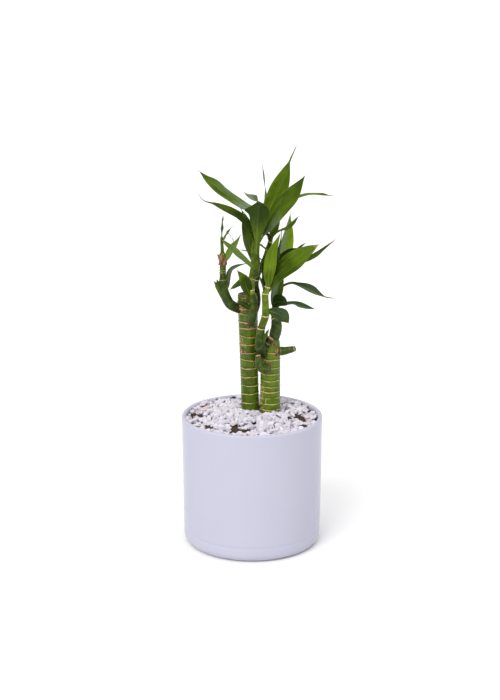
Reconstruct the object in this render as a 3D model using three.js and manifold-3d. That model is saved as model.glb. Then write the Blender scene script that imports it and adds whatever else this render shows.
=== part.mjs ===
// A small lucky bamboo in a white ceramic pot, in millimetres, +Z up.
// The origin is the centre of the pot's flat underside, and the front of the plant looks along -Y.
import * as THREE from "three";
import { mergeVertices } from "three/addons/utils/BufferGeometryUtils.js";
import Module from "manifold-3d";

// Driving dimensions
const POT_DIAMETER = 140;
const POT_HEIGHT = 131;
const POT_TAPER = 1.3; // how much the radius shrinks from rim to foot
const POT_WALL = 4.6;
const POT_FLOOR = 6;
const POT_FLOOR_ROUND = 5; // the inside corner between wall and floor
const POT_FOOT_ROUND = 9;
const POT_GROOVE_HEIGHT = 15;
const POT_GROOVE_DEPTH = 0.6;
const POT_SIDES = 48;
const SOIL_TOP = 120;
const GRAVEL_BED_TOP = 126.1;
const GRAVEL_MOUND = 3.6; // how far the gravel rises round the canes
const GRAVEL_MOUND_REACH = 34;
const GRAVEL_MOUND_CENTRE = [7, 14];
const CHIP_RINGS = 11; // rings of chips from the middle to the wall, larger than life
const CHIP_RISE = 3.2; // how far the tallest chips stand over the gaps round them
const LOWEST_CHIP = 0.45; // the lowest chips' rise as a share of that
const CHIP_STRAY = 0.55; // how far a chip strays from its ring, as a share of the spacing
const CHIP_GAP_DEPTH = 1; // how deep the gaps between chips lie under the gravel's level
const CHIP_GAP_SPREAD = 0.5; // and how much deeper some of them are
const GAP = 0.3; // clearance between pieces that touch
const BLADE_THICKNESS = 0.72;
const CANE_FOOT = 45; // how deep the canes reach into the soil

const wasm = await Module();
wasm.setup();

// Small helpers

const vector = ([x, y, z]) => new THREE.Vector3(x, y, z);
const at = (x, y) => new THREE.Vector2(x, y);
const radians = THREE.MathUtils.degToRad;
const { clamp, lerp, smoothstep } = THREE.MathUtils;

// A repeatable source of numbers from 0 to 1.
function seededRandom(seed) {
  let state = seed;
  return () => {
    state = (Math.imul(state, 1664525) + 1013904223) >>> 0;
    return state / 4294967296;
  };
}

// A height-to-value line through hand-chosen pairs.
function valueAt(pairs, height) {
  const next = pairs.findIndex(([h]) => h >= height);
  if (next === -1) return pairs[pairs.length - 1][1];
  if (next === 0) return pairs[0][1];
  const [lowHeight, low] = pairs[next - 1];
  const [highHeight, high] = pairs[next];
  return lerp(low, high, (height - lowHeight) / (highHeight - lowHeight));
}

function geometryOf(points, triangles) {
  const positions = new Float32Array(points.flatMap((p) => [p.x, p.y, p.z]));
  const geometry = new THREE.BufferGeometry();
  geometry.setAttribute("position", new THREE.BufferAttribute(positions, 3));
  geometry.setIndex(triangles.flat());
  return geometry;
}

// Solids for cutting and joining

function solidOf(geometry) {
  const bare = geometry.clone();
  bare.deleteAttribute("normal");
  bare.deleteAttribute("uv");
  const merged = mergeVertices(bare, 1e-4);
  return new wasm.Manifold(
    new wasm.Mesh({
      numProp: 3,
      vertProperties: merged.attributes.position.array,
      triVerts: new Uint32Array(merged.index.array),
    }),
  );
}

function geometryOfSolid(solid) {
  const mesh = solid.getMesh();
  const geometry = new THREE.BufferGeometry();
  geometry.setAttribute("position", new THREE.BufferAttribute(mesh.vertProperties, 3));
  geometry.setIndex(new THREE.BufferAttribute(mesh.triVerts, 1));
  geometry.computeVertexNormals();
  return geometry;
}

// What is left of a solid once others are cut from it: its largest piece.
function largestPiece(solid) {
  return solid.decompose().reduce((a, b) => (b.volume() > a.volume() ? b : a));
}

// Round lofts for canes and shoots

// Joins rings of points, counted alike and turning anticlockwise round the way they go.
function loft(rings) {
  const sides = rings[0].length;
  const points = rings.flat();
  const triangles = [];
  const last = (rings.length - 1) * sides;
  for (let i = 0; i < rings.length - 1; i++) {
    for (let j = 0; j < sides; j++) {
      const a = i * sides + j;
      const b = i * sides + ((j + 1) % sides);
      triangles.push([a, b, b + sides], [a, b + sides, a + sides]);
    }
  }
  const middle = (ring) =>
    ring.reduce((sum, p) => sum.add(p), new THREE.Vector3()).divideScalar(sides);
  const footMiddle = points.push(middle(rings[0])) - 1;
  const topMiddle = points.push(middle(rings[rings.length - 1])) - 1;
  for (let j = 0; j < sides; j++) {
    const next = (j + 1) % sides;
    triangles.push([footMiddle, next, j], [topMiddle, last + j, last + next]);
  }
  return geometryOf(points, triangles);
}

const RING_RIDGE = 0.5; // how far a scar ring stands out of a cane
const RING_HALF_WIDTH = 1.1;
const RING_SLANT = 0.9; // how far the most slanting rings rise and fall round a cane
const CANE_SIDES = 16;

// A cut cane: straight, with slightly slanting scar rings at the given heights.
function cane({ foot, top, radii, rings, seed, grow = 0 }) {
  const random = seededRandom(seed);
  const stations = radii.map(([height]) => ({ height, ridge: 0, slant: 0, phase: 0 }));
  for (const height of rings) {
    const slant = RING_SLANT * random();
    const phase = 2 * Math.PI * random();
    for (const side of [-1, 0, 1]) {
      const ridge = side === 0 ? RING_RIDGE : 0;
      stations.push({ height: height + side * RING_HALF_WIDTH, ridge, slant, phase });
    }
  }
  stations.sort((a, b) => a.height - b.height);
  const axis = (height) =>
    vector(foot).lerp(vector(top), (height - foot[2]) / (top[2] - foot[2]));
  return loft(
    stations.map(({ height, ridge, slant, phase }) =>
      Array.from({ length: CANE_SIDES }, (_, j) => {
        const angle = (2 * Math.PI * j) / CANE_SIDES;
        const reach = valueAt(radii, height) + ridge + grow;
        const offset = new THREE.Vector3(Math.cos(angle), Math.sin(angle), 0);
        offset.multiplyScalar(reach).setZ(slant * Math.cos(angle - phase));
        return axis(height).add(offset);
      }),
    ),
  );
}

const SHOOT_SIDES = 10;
const SHOOT_STEP = 9;
const NODE_RIDGE = 0.45;
const NODE_HALF_WIDTH = 0.9;

// A living shoot along points [x, y, z, radius], with a ridge at each leaf scar's height.
function shoot({ path, nodes = [], grow = 0 }) {
  const curve = new THREE.CatmullRomCurve3(path.map(vector), false, "centripetal");
  const count = Math.max(3, Math.round(curve.getLength() / SHOOT_STEP));
  const radiusAt = (t) => {
    const place = t * (path.length - 1);
    const i = Math.min(Math.floor(place), path.length - 2);
    return lerp(path[i][3], path[i + 1][3], place - i);
  };
  const placeOf = (height) => {
    let low = 0;
    let high = 1;
    while (high - low > 1e-5) {
      const middle = (low + high) / 2;
      if (curve.getPoint(middle).z < height) low = middle;
      else high = middle;
    }
    return low;
  };
  const stations = Array.from({ length: count + 1 }, (_, i) => ({ t: i / count, ridge: 0 }));
  for (const height of nodes) {
    for (const side of [-1, 0, 1]) {
      const ridge = side === 0 ? NODE_RIDGE : 0;
      stations.push({ t: placeOf(height + side * NODE_HALF_WIDTH), ridge });
    }
  }
  stations.sort((a, b) => a.t - b.t);
  const apart = stations.filter((s, i) => i === 0 || s.ridge || s.t - stations[i - 1].t > 1e-3);
  return loft(
    apart.map(({ t, ridge }) => {
      const along = curve.getTangent(t);
      const across = new THREE.Vector3(0, 1, 0).cross(along).normalize();
      const away = along.clone().cross(across);
      return Array.from({ length: SHOOT_SIDES }, (_, j) => {
        const angle = (2 * Math.PI * j) / SHOOT_SIDES;
        const reach = radiusAt(t) + ridge + grow;
        return curve
          .getPoint(t)
          .addScaledVector(across, reach * Math.cos(angle))
          .addScaledVector(away, reach * Math.sin(angle));
      });
    }),
  );
}

// Leaf blades

const BLADE_STEP = 9.5;
const FEWEST_STEPS = 5;
const MOST_STEPS = 12;
const WIDE_BLADE = 9; // a blade at least this wide is split twice on each side of its rib
const TIP_WIDTH = 0.9;
const TIP_TAPER = 1.4;
const BASE_SHARE = 0.25; // width of a blade's base as a share of its full width
const SMALLEST_BASE = 2.2;
const WAVES = 2.5; // waves along each edge of a blade
const WAVE_LAG = 1.5; // how far one edge's waves run ahead of the other's, in radians
const BASE_TURN_END = 0.4; // the base's twist is gone this far along the blade
const TIP_TURN_START = 0.6; // and the tip's starts here

// Width along a blade: a narrow base, fullest at widest, then narrowing to the tip, whose last
// share may be drawn out into a thread-like tail.
function bladeWidth(t, { width, widest = 0.42, shoulder = 1.3, taper = TIP_TAPER, tail = 0 }) {
  if (t < widest) {
    const swell = Math.sin((Math.PI / 2) * (t / widest)) ** shoulder;
    return Math.max(SMALLEST_BASE, width * lerp(BASE_SHARE, 1, swell));
  }
  const s = (t - widest) / (1 - tail - widest);
  return Math.max(TIP_WIDTH, width * Math.cos((Math.PI / 2) * Math.min(s, 1)) ** taper);
}

// A blade along its rib's points. Its upper side looks towards face, turned by turn[0] degrees
// at the base and turn[1] at the tip, and its halves rise from the rib by fold degrees. Skew makes
// one half wider than the other.
function blade({ rib, face, fold = 14, turn = [0, 0], wave = 0.5, skew = 0, ...outline }) {
  const curve = new THREE.CatmullRomCurve3(rib.map(vector), false, "centripetal");
  const steps = clamp(Math.round(curve.getLength() / BLADE_STEP), FEWEST_STEPS, MOST_STEPS);
  const lanes = outline.width >= WIDE_BLADE ? [-1, -0.5, 0, 0.5, 1] : [-1, 0, 1];
  const upper = [];
  const lower = [];
  for (let i = 0; i <= steps; i++) {
    const t = i / steps;
    const centre = curve.getPointAt(t);
    const along = curve.getTangentAt(t);
    const up = vector(face).addScaledVector(along, -vector(face).dot(along)).normalize();
    const baseTwist = turn[0] * (1 - smoothstep(t, 0, BASE_TURN_END));
    const tipTwist = turn[1] * smoothstep(t, TIP_TURN_START, 1);
    up.applyAxisAngle(along, radians(baseTwist + tipTwist));
    const across = along.clone().cross(up);
    const half = bladeWidth(t, outline) / 2;
    for (const lane of lanes) {
      const phase = 2 * Math.PI * WAVES * t + WAVE_LAG * lane;
      const ripple = wave * Math.sin(Math.PI * t) * Math.sin(phase);
      const lift = Math.abs(lane) * (half * Math.sin(radians(fold)) + ripple);
      const point = centre
        .clone()
        .addScaledVector(across, (lane + skew * Math.abs(lane)) * half * Math.cos(radians(fold)))
        .addScaledVector(up, lift);
      upper.push(point.clone().addScaledVector(up, BLADE_THICKNESS / 2));
      lower.push(point.addScaledVector(up, -BLADE_THICKNESS / 2));
    }
  }
  return geometryOf([...upper, ...lower], bladeTriangles(steps, lanes.length));
}

// The same triangles on the upper and the lower face, then the two edges and the two ends.
function bladeTriangles(steps, across) {
  const under = (steps + 1) * across;
  const triangles = [];
  const quad = (a, b, c, d) => triangles.push([a, b, c], [a, c, d]);
  for (let i = 0; i < steps; i++) {
    for (let j = 0; j < across - 1; j++) {
      const a = i * across + j;
      const b = a + across;
      triangles.push([a, a + 1, b + 1], [a, b + 1, b]);
      triangles.push([under + a, under + b + 1, under + a + 1]);
      triangles.push([under + a, under + b, under + b + 1]);
    }
    const left = i * across;
    const right = left + across - 1;
    quad(left, left + across, under + left + across, under + left);
    quad(right, under + right, under + right + across, right + across);
  }
  const tip = steps * across;
  for (let j = 0; j < across - 1; j++) {
    quad(j, under + j, under + j + 1, j + 1);
    quad(tip + j, tip + j + 1, under + tip + j + 1, under + tip + j);
  }
  return triangles;
}

// The pot

function potRadius(height) {
  return POT_DIAMETER / 2 - POT_TAPER * (1 - height / POT_HEIGHT);
}

// Points round a centre, from one angle in degrees to another.
function arc(x, y, radius, from, to, steps) {
  return Array.from({ length: steps + 1 }, (_, i) => {
    const angle = radians(lerp(from, to, i / steps));
    return at(x + radius * Math.cos(angle), y + radius * Math.sin(angle));
  });
}

function potGeometry() {
  const foot = potRadius(POT_FOOT_ROUND);
  const rim = POT_WALL / 2;
  const inside = potRadius(POT_FLOOR) - POT_WALL;
  const profile = [
    at(0, 0),
    ...arc(foot - POT_FOOT_ROUND, POT_FOOT_ROUND, POT_FOOT_ROUND, -90, 0, 4),
    at(potRadius(POT_GROOVE_HEIGHT - 1), POT_GROOVE_HEIGHT - 1),
    at(potRadius(POT_GROOVE_HEIGHT) - POT_GROOVE_DEPTH, POT_GROOVE_HEIGHT),
    at(potRadius(POT_GROOVE_HEIGHT + 1), POT_GROOVE_HEIGHT + 1),
    ...arc(potRadius(POT_HEIGHT) - rim, POT_HEIGHT - rim, rim, 0, 180, 4),
    ...arc(inside - POT_FLOOR_ROUND, POT_FLOOR + POT_FLOOR_ROUND, POT_FLOOR_ROUND, 0, -90, 2),
    at(0, POT_FLOOR),
  ];
  return new THREE.LatheGeometry(profile, POT_SIDES).rotateX(Math.PI / 2);
}

// The canes

const caneTall = {
  foot: [0.3, 20.5, CANE_FOOT],
  top: [-4.6, 20.5, 249],
  radii: [
    [CANE_FOOT, 8.4],
    [130, 9],
    [157, 9],
    [205, 9.4],
    [240, 10],
    [247.5, 9.8],
    [249, 9],
  ],
  rings: [138, 147.5, 156, 165, 174, 182.5, 190, 198, 207, 215, 221.5, 230, 235.5, 241.5],
  seed: 7,
};

const caneShort = {
  foot: [18.25, 15, CANE_FOOT],
  top: [18.25, 15, 206],
  radii: [
    [CANE_FOOT, 9.2],
    [128, 10.5],
    [140, 10.1],
    [158, 10],
    [197, 9.9],
    [202.5, 9.2],
    [205, 7.4],
    [206, 4.6],
  ],
  rings: [133, 139, 144.5, 151, 156.5, 163.5, 170, 176, 184.5, 192],
  seed: 11,
};

// Old stubs of side shoots that stayed on the short cane.
const shortCaneStubs = [
  {
    path: [
      [16.4, 8, 178.5, 4.2],
      [11.6, 0.8, 178, 4.5],
      [7.8, -2, 182, 4.2],
      [6.6, -2.6, 187.3, 3.7],
      [6, -2.4, 192.3, 2.7],
    ],
  },
  { path: [[10.4, 6, 195.5, 3.6], [14.2, 3.5, 202, 3.5], [18.8, 3, 208.3, 3]] },
  { path: [[24, 10, 192.6, 4.6], [34.2, 6, 194.9, 3.8], [42.3, 3.5, 197.6, 2.7]] },
];

// The shoots, from the cane outwards: [x, y, z, radius]

const shoots = {
  shoot_left: {
    on: "cane_tall",
    path: [
      [-12, 18.5, 234, 4.6],
      [-21.3, 17, 239, 4.6],
      [-25.3, 16, 246, 4.5],
      [-28, 15, 253.5, 4.6],
      [-29, 15, 260, 4.8],
      [-28.7, 15, 264, 3.4],
      [-28.7, 15, 272, 3],
      [-28.6, 15, 280, 3.2],
      [-28.8, 15, 289, 4],
      [-29, 15, 292, 1.8],
      [-29.7, 15, 308, 1.4],
    ],
    nodes: [264.5, 272.5, 277],
    stub: [[-28, 15, 247, 3], [-32, 14.5, 255, 3], [-35.5, 14, 262.5, 1.2]],
  },
  shoot_main: {
    on: "cane_tall",
    path: [
      [-1.6, 14.5, 221, 4],
      [-0.4, 9.5, 225, 4.2],
      [0.9, 5, 234, 4.1],
      [1.2, 3, 246, 4],
      [0.2, 3, 253, 2.6],
      [-0.3, 3, 262, 2.3],
      [-0.2, 3, 268, 2.4],
      [1.8, 3, 274, 4.1],
      [3.1, 2.5, 285, 4],
      [2.9, 2, 304, 3.2],
      [5.2, 1, 324, 2.3],
      [6.6, 0.5, 333, 1.7],
    ],
    nodes: [257, 268],
  },
  shoot_middle: {
    on: "cane_tall",
    path: [
      [2.9, 22, 230, 2.8],
      [5.3, 23.5, 241, 3.3],
      [5, 24, 249, 3],
      [3.9, 24, 258, 2.7],
      [5.2, 24.3, 267, 2.7],
      [9.4, 25, 276, 2.6],
      [13.2, 25.5, 284.4, 2.5],
      [16.1, 26, 293.8, 2.4],
      [18.5, 26, 303.8, 2.2],
      [19.3, 26, 312, 1.9],
    ],
    nodes: [262, 300],
  },
  shoot_front: {
    on: "cane_short",
    path: [
      [11, 9, 190, 5],
      [8.6, 3, 199, 5.4],
      [8, 0.5, 207, 4.8],
      [9, -1, 219, 3.7],
      [13, -3, 232.5, 3.3],
      [13, -4, 244.5, 3.3],
      [12.8, -5, 255, 3.3],
      [16.1, -6, 263.5, 2.8],
    ],
    nodes: [220.5, 233.5, 255.5, 261.5],
  },
  shoot_rear: {
    on: "cane_short",
    path: [
      [21, 14, 200, 3.9],
      [22.4, 14.5, 208, 4.9],
      [24.3, 15.3, 216, 5.5],
      [24, 16, 222, 4.6],
      [22.4, 16.5, 230, 3.4],
      [23.6, 17, 239, 3.1],
      [24.6, 17, 248.5, 3],
      [26.5, 18, 260, 2.8],
      [28, 18.5, 276, 2],
    ],
    nodes: [226, 243],
  },
};

// The leaves, named by the shoot they grow on and where they stand

const leaves = {
  leaf_main_high_left: {
    on: "shoot_main",
    rib: [
      [4.5, 1.5, 312], [5.7, 2, 322], [4.2, 3, 330.8], [-0.1, 5, 335.3], [-6.9, 7.5, 338],
      [-13.6, 9, 341.7], [-21.3, 11, 346.5], [-29, 12.5, 351.6], [-36.7, 14, 358.3],
      [-44.4, 15.5, 364.4], [-51.8, 16, 372.3],
    ],
    width: 9,
    widest: 0.72,
    shoulder: 2.4,
    face: [0.3, -0.75, 0.6],
  },
  leaf_main_low_left: {
    on: "shoot_main",
    rib: [
      [2.9, 2, 290], [2.2, 0.3, 298], [1.2, -1.5, 306], [-2.2, -4.5, 316.5], [-7, -8.5, 324.9],
      [-13.4, -13, 331.7], [-21, -17, 337.1], [-28.5, -19, 341.3], [-37, -20.5, 345.8],
      [-45.4, -21, 348.6], [-51.5, -21, 355.7],
    ],
    width: 11.5,
    widest: 0.55,
    taper: 1.1,
    tail: 0.1,
    face: [0.1, -0.7, 0.75],
    turn: [60, 10],
    fold: 30,
  },
  leaf_main_front: {
    on: "shoot_main",
    rib: [
      [4.2, -0.5, 292], [4.4, -5.2, 301], [4.7, -8, 308.5], [4.8, -11.3, 318.3],
      [5.1, -15.5, 328], [6, -21.5, 338.1], [6.4, -29, 346.6], [4.4, -34.5, 351.8], [0.2, -37, 354.8],
      [-4.2, -38, 357], [-8.3, -38.5, 360.3],
    ],
    width: 24,
    widest: 0.54,
    shoulder: 3,
    taper: 2.1,
    skew: -0.2,
    face: [0, 0.5, 0.85],
    turn: [0, -70],
    fold: 18,
  },
  leaf_main_tallest: {
    on: "shoot_main",
    rib: [
      [5.8, 2, 318], [10, 6.4, 325], [16.5, 8, 336], [24, 10.5, 351],
      [30, 11, 365.5], [36, 12, 381.5], [42.5, 12, 396.5],
    ],
    width: 18,
    widest: 0.46,
    taper: 1.2,
    tail: 0.16,
    face: [0.1, -1, 0.3],
    fold: 10,
  },
  leaf_main_right: {
    on: "shoot_main",
    rib: [
      [4.8, 1.5, 300], [10, 1.2, 309], [14.2, -1.2, 317], [19.5, -4.5, 327],
      [28.5, -8, 341], [39, -11, 354], [50.5, -12, 372],
    ],
    width: 20,
    widest: 0.58,
    face: [-0.2, -1, 0.3],
    turn: [-95, 0],
    fold: 16,
  },
  leaf_main_back: {
    on: "shoot_main",
    rib: [
      [6.4, 1.5, 330], [6.6, 6.5, 332.5], [9, 11, 336], [12.5, 13.5, 342],
      [12.9, 18, 350], [11.6, 21, 362], [9.8, 22, 377],
    ],
    width: 4,
    face: [1, 0.1, 0.2],
  },
  leaf_main_far_right: {
    on: "shoot_main",
    rib: [
      [4.2, 3, 313], [6.5, 10, 320], [18, 15, 329], [34, 21, 340],
      [52, 26, 346.5], [67, 30, 346], [81, 33, 344],
    ],
    width: 8,
    widest: 0.7,
    shoulder: 2.5,
    face: [0, 0.15, 1],
  },
  leaf_main_dark_left: {
    on: "shoot_main",
    rib: [[1.5, 4, 282], [-2.5, 8, 298], [-6.5, 10, 315], [-8.5, 11, 327], [-10.5, 12, 336]],
    width: 10,
    face: [0.3, -1, 0.2],
  },
  leaf_main_thin_left: {
    on: "shoot_main",
    rib: [
      [3.2, 2.2, 298], [1.6, 4, 311], [-0.6, 4, 320.2], [-4.4, 3.5, 327.2],
      [-8.5, 3, 333.6], [-12.8, 2.5, 339.2],
    ],
    width: 3.6,
    widest: 0.35,
    face: [0.2, -1, 0.3],
  },
  leaf_main_old: {
    on: "shoot_main",
    rib: [[4.2, 4.5, 299], [8, 8, 298.5], [14.5, 11, 293], [20.5, 13, 283]],
    width: 6,
    face: [0.3, -0.3, 0.9],
  },
  leaf_main_small_left: {
    on: "shoot_main",
    rib: [
      [-0.5, 2.5, 249.5], [-4.2, 0, 256.6], [-7.3, -3, 266.2], [-11.1, -6, 273.8],
      [-15.2, -8, 279.7],
    ],
    width: 10.5,
    widest: 0.5,
    face: [0.2, -1, 0.35],
    fold: 22,
  },
  leaf_main_small_back: {
    on: "shoot_main",
    rib: [[-1.5, 3.5, 267], [-6, 5, 265.5], [-12, 6, 262.5], [-22.5, 6, 256]],
    width: 7,
    face: [0, -0.6, 0.8],
  },
  bract_main: {
    on: "shoot_main",
    rib: [[-1, 3.5, 238], [-5, 2.5, 240.5], [-10, 3, 243], [-16.5, 5, 243.5]],
    width: 6,
    face: [0.2, -0.8, 0.5],
  },
  leaf_left_top: {
    on: "shoot_left",
    rib: [[-29.7, 15, 306], [-29.5, 15, 319], [-27.8, 15, 330]],
    width: 5,
    face: [0.9, -0.4, 0],
  },
  leaf_left_side: {
    on: "shoot_left",
    rib: [[-29, 14.8, 302], [-24.9, 12, 310], [-22.2, 10, 314.3], [-18.4, 8, 319.3]],
    width: 2.6,
    face: [-0.3, -0.6, 0.7],
  },
  leaf_left_pale: {
    on: "shoot_left",
    rib: [[-27, 14, 281], [-21, 10, 294], [-15.5, 7, 302.5], [-10.5, 5, 312]],
    width: 6,
    face: [-0.4, -0.8, 0.4],
  },
  leaf_left_arch: {
    on: "shoot_left",
    rib: [
      [-25.6, 15.5, 252], [-24, 16, 262.9], [-23.2, 17, 269.7], [-20.7, 18, 274.2],
      [-16.8, 19, 276.5], [-11.4, 20.5, 278.1], [-6, 22.5, 278.8], [-0.6, 24.5, 278.2],
    ],
    width: 5.5,
    face: [0.7, 0.2, 0.7],
  },
  leaf_middle_left: {
    on: "shoot_middle",
    rib: [[11.5, 26, 280], [5, 31, 284], [-3, 35, 288], [-15, 38, 290]],
    width: 6,
    face: [0, 0.2, 1],
  },
  leaf_middle_upright: {
    on: "shoot_middle",
    rib: [
      [18.8, 26, 304], [21.2, 26, 312.8], [23.2, 27, 319.5], [25.6, 28, 327], [28, 29, 334.5],
    ],
    width: 10,
    widest: 0.35,
    face: [-0.2, -1, 0.2],
  },
  leaf_middle_short: {
    on: "shoot_middle",
    rib: [[17, 25, 299], [15, 20, 307], [10, 16, 315]],
    width: 7,
    face: [0.5, -0.5, 0.7],
  },
  leaf_middle_right: {
    on: "shoot_middle",
    rib: [
      [19.2, 24.9, 304.5], [24.3, 21.5, 310.6], [29.2, 20, 313.2], [34, 19, 315.2],
      [39.7, 17, 320.2], [45.5, 15, 328.4],
    ],
    width: 4,
    widest: 0.7,
    shoulder: 2.5,
    face: [0, -0.9, 0.4],
  },
  leaf_front_upright: {
    on: "shoot_front",
    rib: [
      [15.9, -6.2, 261.5], [16.2, -9, 274.5], [17.2, -11, 281.8], [18.3, -13, 291.1],
      [20.7, -13.5, 300.9], [24.3, -13, 309.6], [27.8, -12, 317.6],
    ],
    width: 12.5,
    shoulder: 0.9,
    face: [-0.2, -1, 0.1],
  },
  leaf_front_slim: {
    on: "shoot_front",
    rib: [
      [16.3, -4.4, 262], [18.4, -2.4, 268], [21.2, -1.5, 276.1], [24.1, -1, 285.6],
      [25.9, 0, 297.2], [28, 1, 308.7], [28.7, 2, 318.8],
    ],
    width: 3.6,
    face: [-0.3, -0.9, 0.2],
  },
  leaf_front_crossing: {
    on: "shoot_front",
    rib: [
      [12.6, -6, 255.5], [9.8, -8, 265.4], [6.2, -10, 274.2], [1.3, -12, 281.5], [-4, -15, 287.8],
      [-8.7, -17, 292.7], [-13.3, -19, 297.2], [-18.2, -21.5, 302.4], [-23.4, -24, 306.9],
      [-28.2, -26, 312],
    ],
    width: 6.2,
    widest: 0.5,
    shoulder: 1,
    taper: 0.5,
    face: [0.2, -0.8, 0.5],
  },
  leaf_front_inner: {
    on: "shoot_front",
    rib: [[12, -3.5, 252.5], [11, 0, 262], [10.5, 2.5, 273], [9.5, 4, 285]],
    width: 6,
    face: [0.7, -0.7, 0],
  },
  leaf_front_broad: {
    on: "shoot_front",
    rib: [
      [15.6, -5, 258], [19, -6, 265], [24, -8.5, 273], [33, -13, 283],
      [44, -16, 292], [53.5, -18, 299.5], [63.5, -19, 306.5],
    ],
    width: 21,
    widest: 0.55,
    face: [-0.3, -0.8, 0.5],
    fold: 12,
  },
  leaf_front_low: {
    on: "shoot_front",
    rib: [
      [14.5, -3, 237.5], [20, -3.5, 236.5], [26, -5.5, 234.5], [32, -9, 231], [36, -11, 226.5],
    ],
    width: 15,
    widest: 0.6,
    face: [0.2, -0.9, 0.4],
  },
  leaf_rear_dry: {
    on: "shoot_rear",
    rib: [
      [28.4, 18, 273], [36, 15.5, 277.5], [45, 12, 281], [60, 8, 289],
      [72, 6, 299], [81.5, 4, 307.5],
    ],
    width: 7,
    face: [-0.3, -0.5, 0.8],
  },
  leaf_rear_dark: {
    on: "shoot_rear",
    rib: [
      [28, 17.5, 265.7], [27.8, 16, 273.9], [29.2, 14.5, 282.2], [34, 12, 288.3],
      [41.7, 8.5, 292.5], [50.3, 6, 295.4], [58.9, 4, 299.3],
    ],
    width: 14,
    face: [0, -0.6, 0.8],
  },
  leaf_rear_narrow: {
    on: "shoot_rear",
    rib: [[26.5, 16, 259], [29, 9, 270], [33, 3.2, 283], [41.5, -0.5, 295], [51.5, -4, 305]],
    width: 6,
    face: [-0.5, -0.3, 0.8],
  },
  leaf_rear_pale: {
    on: "shoot_rear",
    rib: [[28, 19, 272], [31, 22, 281], [33.5, 26, 293], [36, 29, 309.5], [37.5, 30, 329]],
    width: 14,
    face: [0, -1, 0.1],
    fold: 26,
  },
  leaf_rear_arch: {
    on: "shoot_rear",
    rib: [
      [24.6, 16.5, 246.5], [26.5, 14.5, 252.2], [29.3, 13, 257.5], [34.2, 11, 260.8],
      [39, 9.5, 262.2], [43.9, 8, 261.6], [50.6, 5.5, 259.9], [57.4, 3, 257.3],
      [64.2, 1, 253.8], [71.9, -1, 250.6], [80.1, -2, 249.7],
    ],
    width: 10.5,
    widest: 0.64,
    shoulder: 6,
    tail: 0.1,
    face: [0.2, -0.6, 0.8],
  },
  leaf_rear_low: {
    on: "shoot_rear",
    rib: [
      [24.5, 18, 236.5], [32.6, 22, 238], [39.6, 25, 238.2], [45.7, 27, 236.2],
      [52.7, 28, 233.8], [63.1, 28, 231.3],
    ],
    width: 6.5,
    face: [0, -0.5, 0.9],
  },
  leaf_rear_curl: {
    on: "shoot_rear",
    rib: [[22.6, 15, 241], [25.4, 9, 244], [29.5, 5, 244.2], [34, 3, 241.5]],
    width: 12.5,
    widest: 0.5,
    shoulder: 1,
    taper: 0.8,
    face: [0, -0.85, 0.5],
  },
};

// Soil and gravel

function soilSolid(canes) {
  const inside = (height) => potRadius(height) - POT_WALL - GAP;
  const profile = [
    at(0, POT_FLOOR + GAP),
    at(inside(POT_FLOOR) - POT_FLOOR_ROUND, POT_FLOOR + GAP),
    at(inside(POT_FLOOR), POT_FLOOR + POT_FLOOR_ROUND),
    at(inside(SOIL_TOP), SOIL_TOP),
    at(0, SOIL_TOP),
  ];
  const plug = solidOf(new THREE.LatheGeometry(profile, POT_SIDES).rotateX(Math.PI / 2));
  return canes.reduce((soil, hole) => soil.subtract(hole), plug);
}

// The gravel's surface: level near the wall, heaped round the canes.
function gravelHeight(x, y) {
  const [middleX, middleY] = GRAVEL_MOUND_CENTRE;
  const away = Math.hypot(x - middleX, y - middleY) / GRAVEL_MOUND_REACH;
  return GRAVEL_BED_TOP + GRAVEL_MOUND * Math.exp(-away * away);
}

// The corners of the rings of chips: ring k holds 6k of them, and the last ring is the wall.
function chipPlaces(random, wall) {
  const places = [[0, 0, 0]];
  const step = wall / CHIP_RINGS;
  for (let ring = 1; ring <= CHIP_RINGS; ring++) {
    const loose = ring < CHIP_RINGS ? CHIP_STRAY * step : 0;
    for (let i = 0; i < 6 * ring; i++) {
      const angle = (Math.PI * i) / (3 * ring);
      const x = ring * step * Math.cos(angle) + loose * (random() - 0.5);
      const y = ring * step * Math.sin(angle) + loose * (random() - 0.5);
      const rise = loose ? CHIP_RISE * lerp(LOWEST_CHIP, 1, random()) : 0;
      places.push([x, y, rise]);
    }
  }
  return places;
}

// The three-cornered cells between neighbouring chips, anticlockwise.
function chipCells() {
  const first = (ring) => (ring === 0 ? 0 : 1 + 3 * ring * (ring - 1));
  const index = (ring, i) => (ring === 0 ? 0 : first(ring) + (i % (6 * ring)));
  const cells = [];
  for (let ring = 0; ring < CHIP_RINGS; ring++) {
    for (let sector = 0; sector < 6; sector++) {
      for (let i = 0; i <= ring; i++) {
        const inner = index(ring, sector * ring + i);
        const outer = index(ring + 1, sector * (ring + 1) + i);
        const next = index(ring + 1, sector * (ring + 1) + i + 1);
        cells.push([inner, outer, next]);
        if (i < ring) cells.push([inner, next, index(ring, sector * ring + i + 1)]);
      }
    }
  }
  return cells;
}

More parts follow.
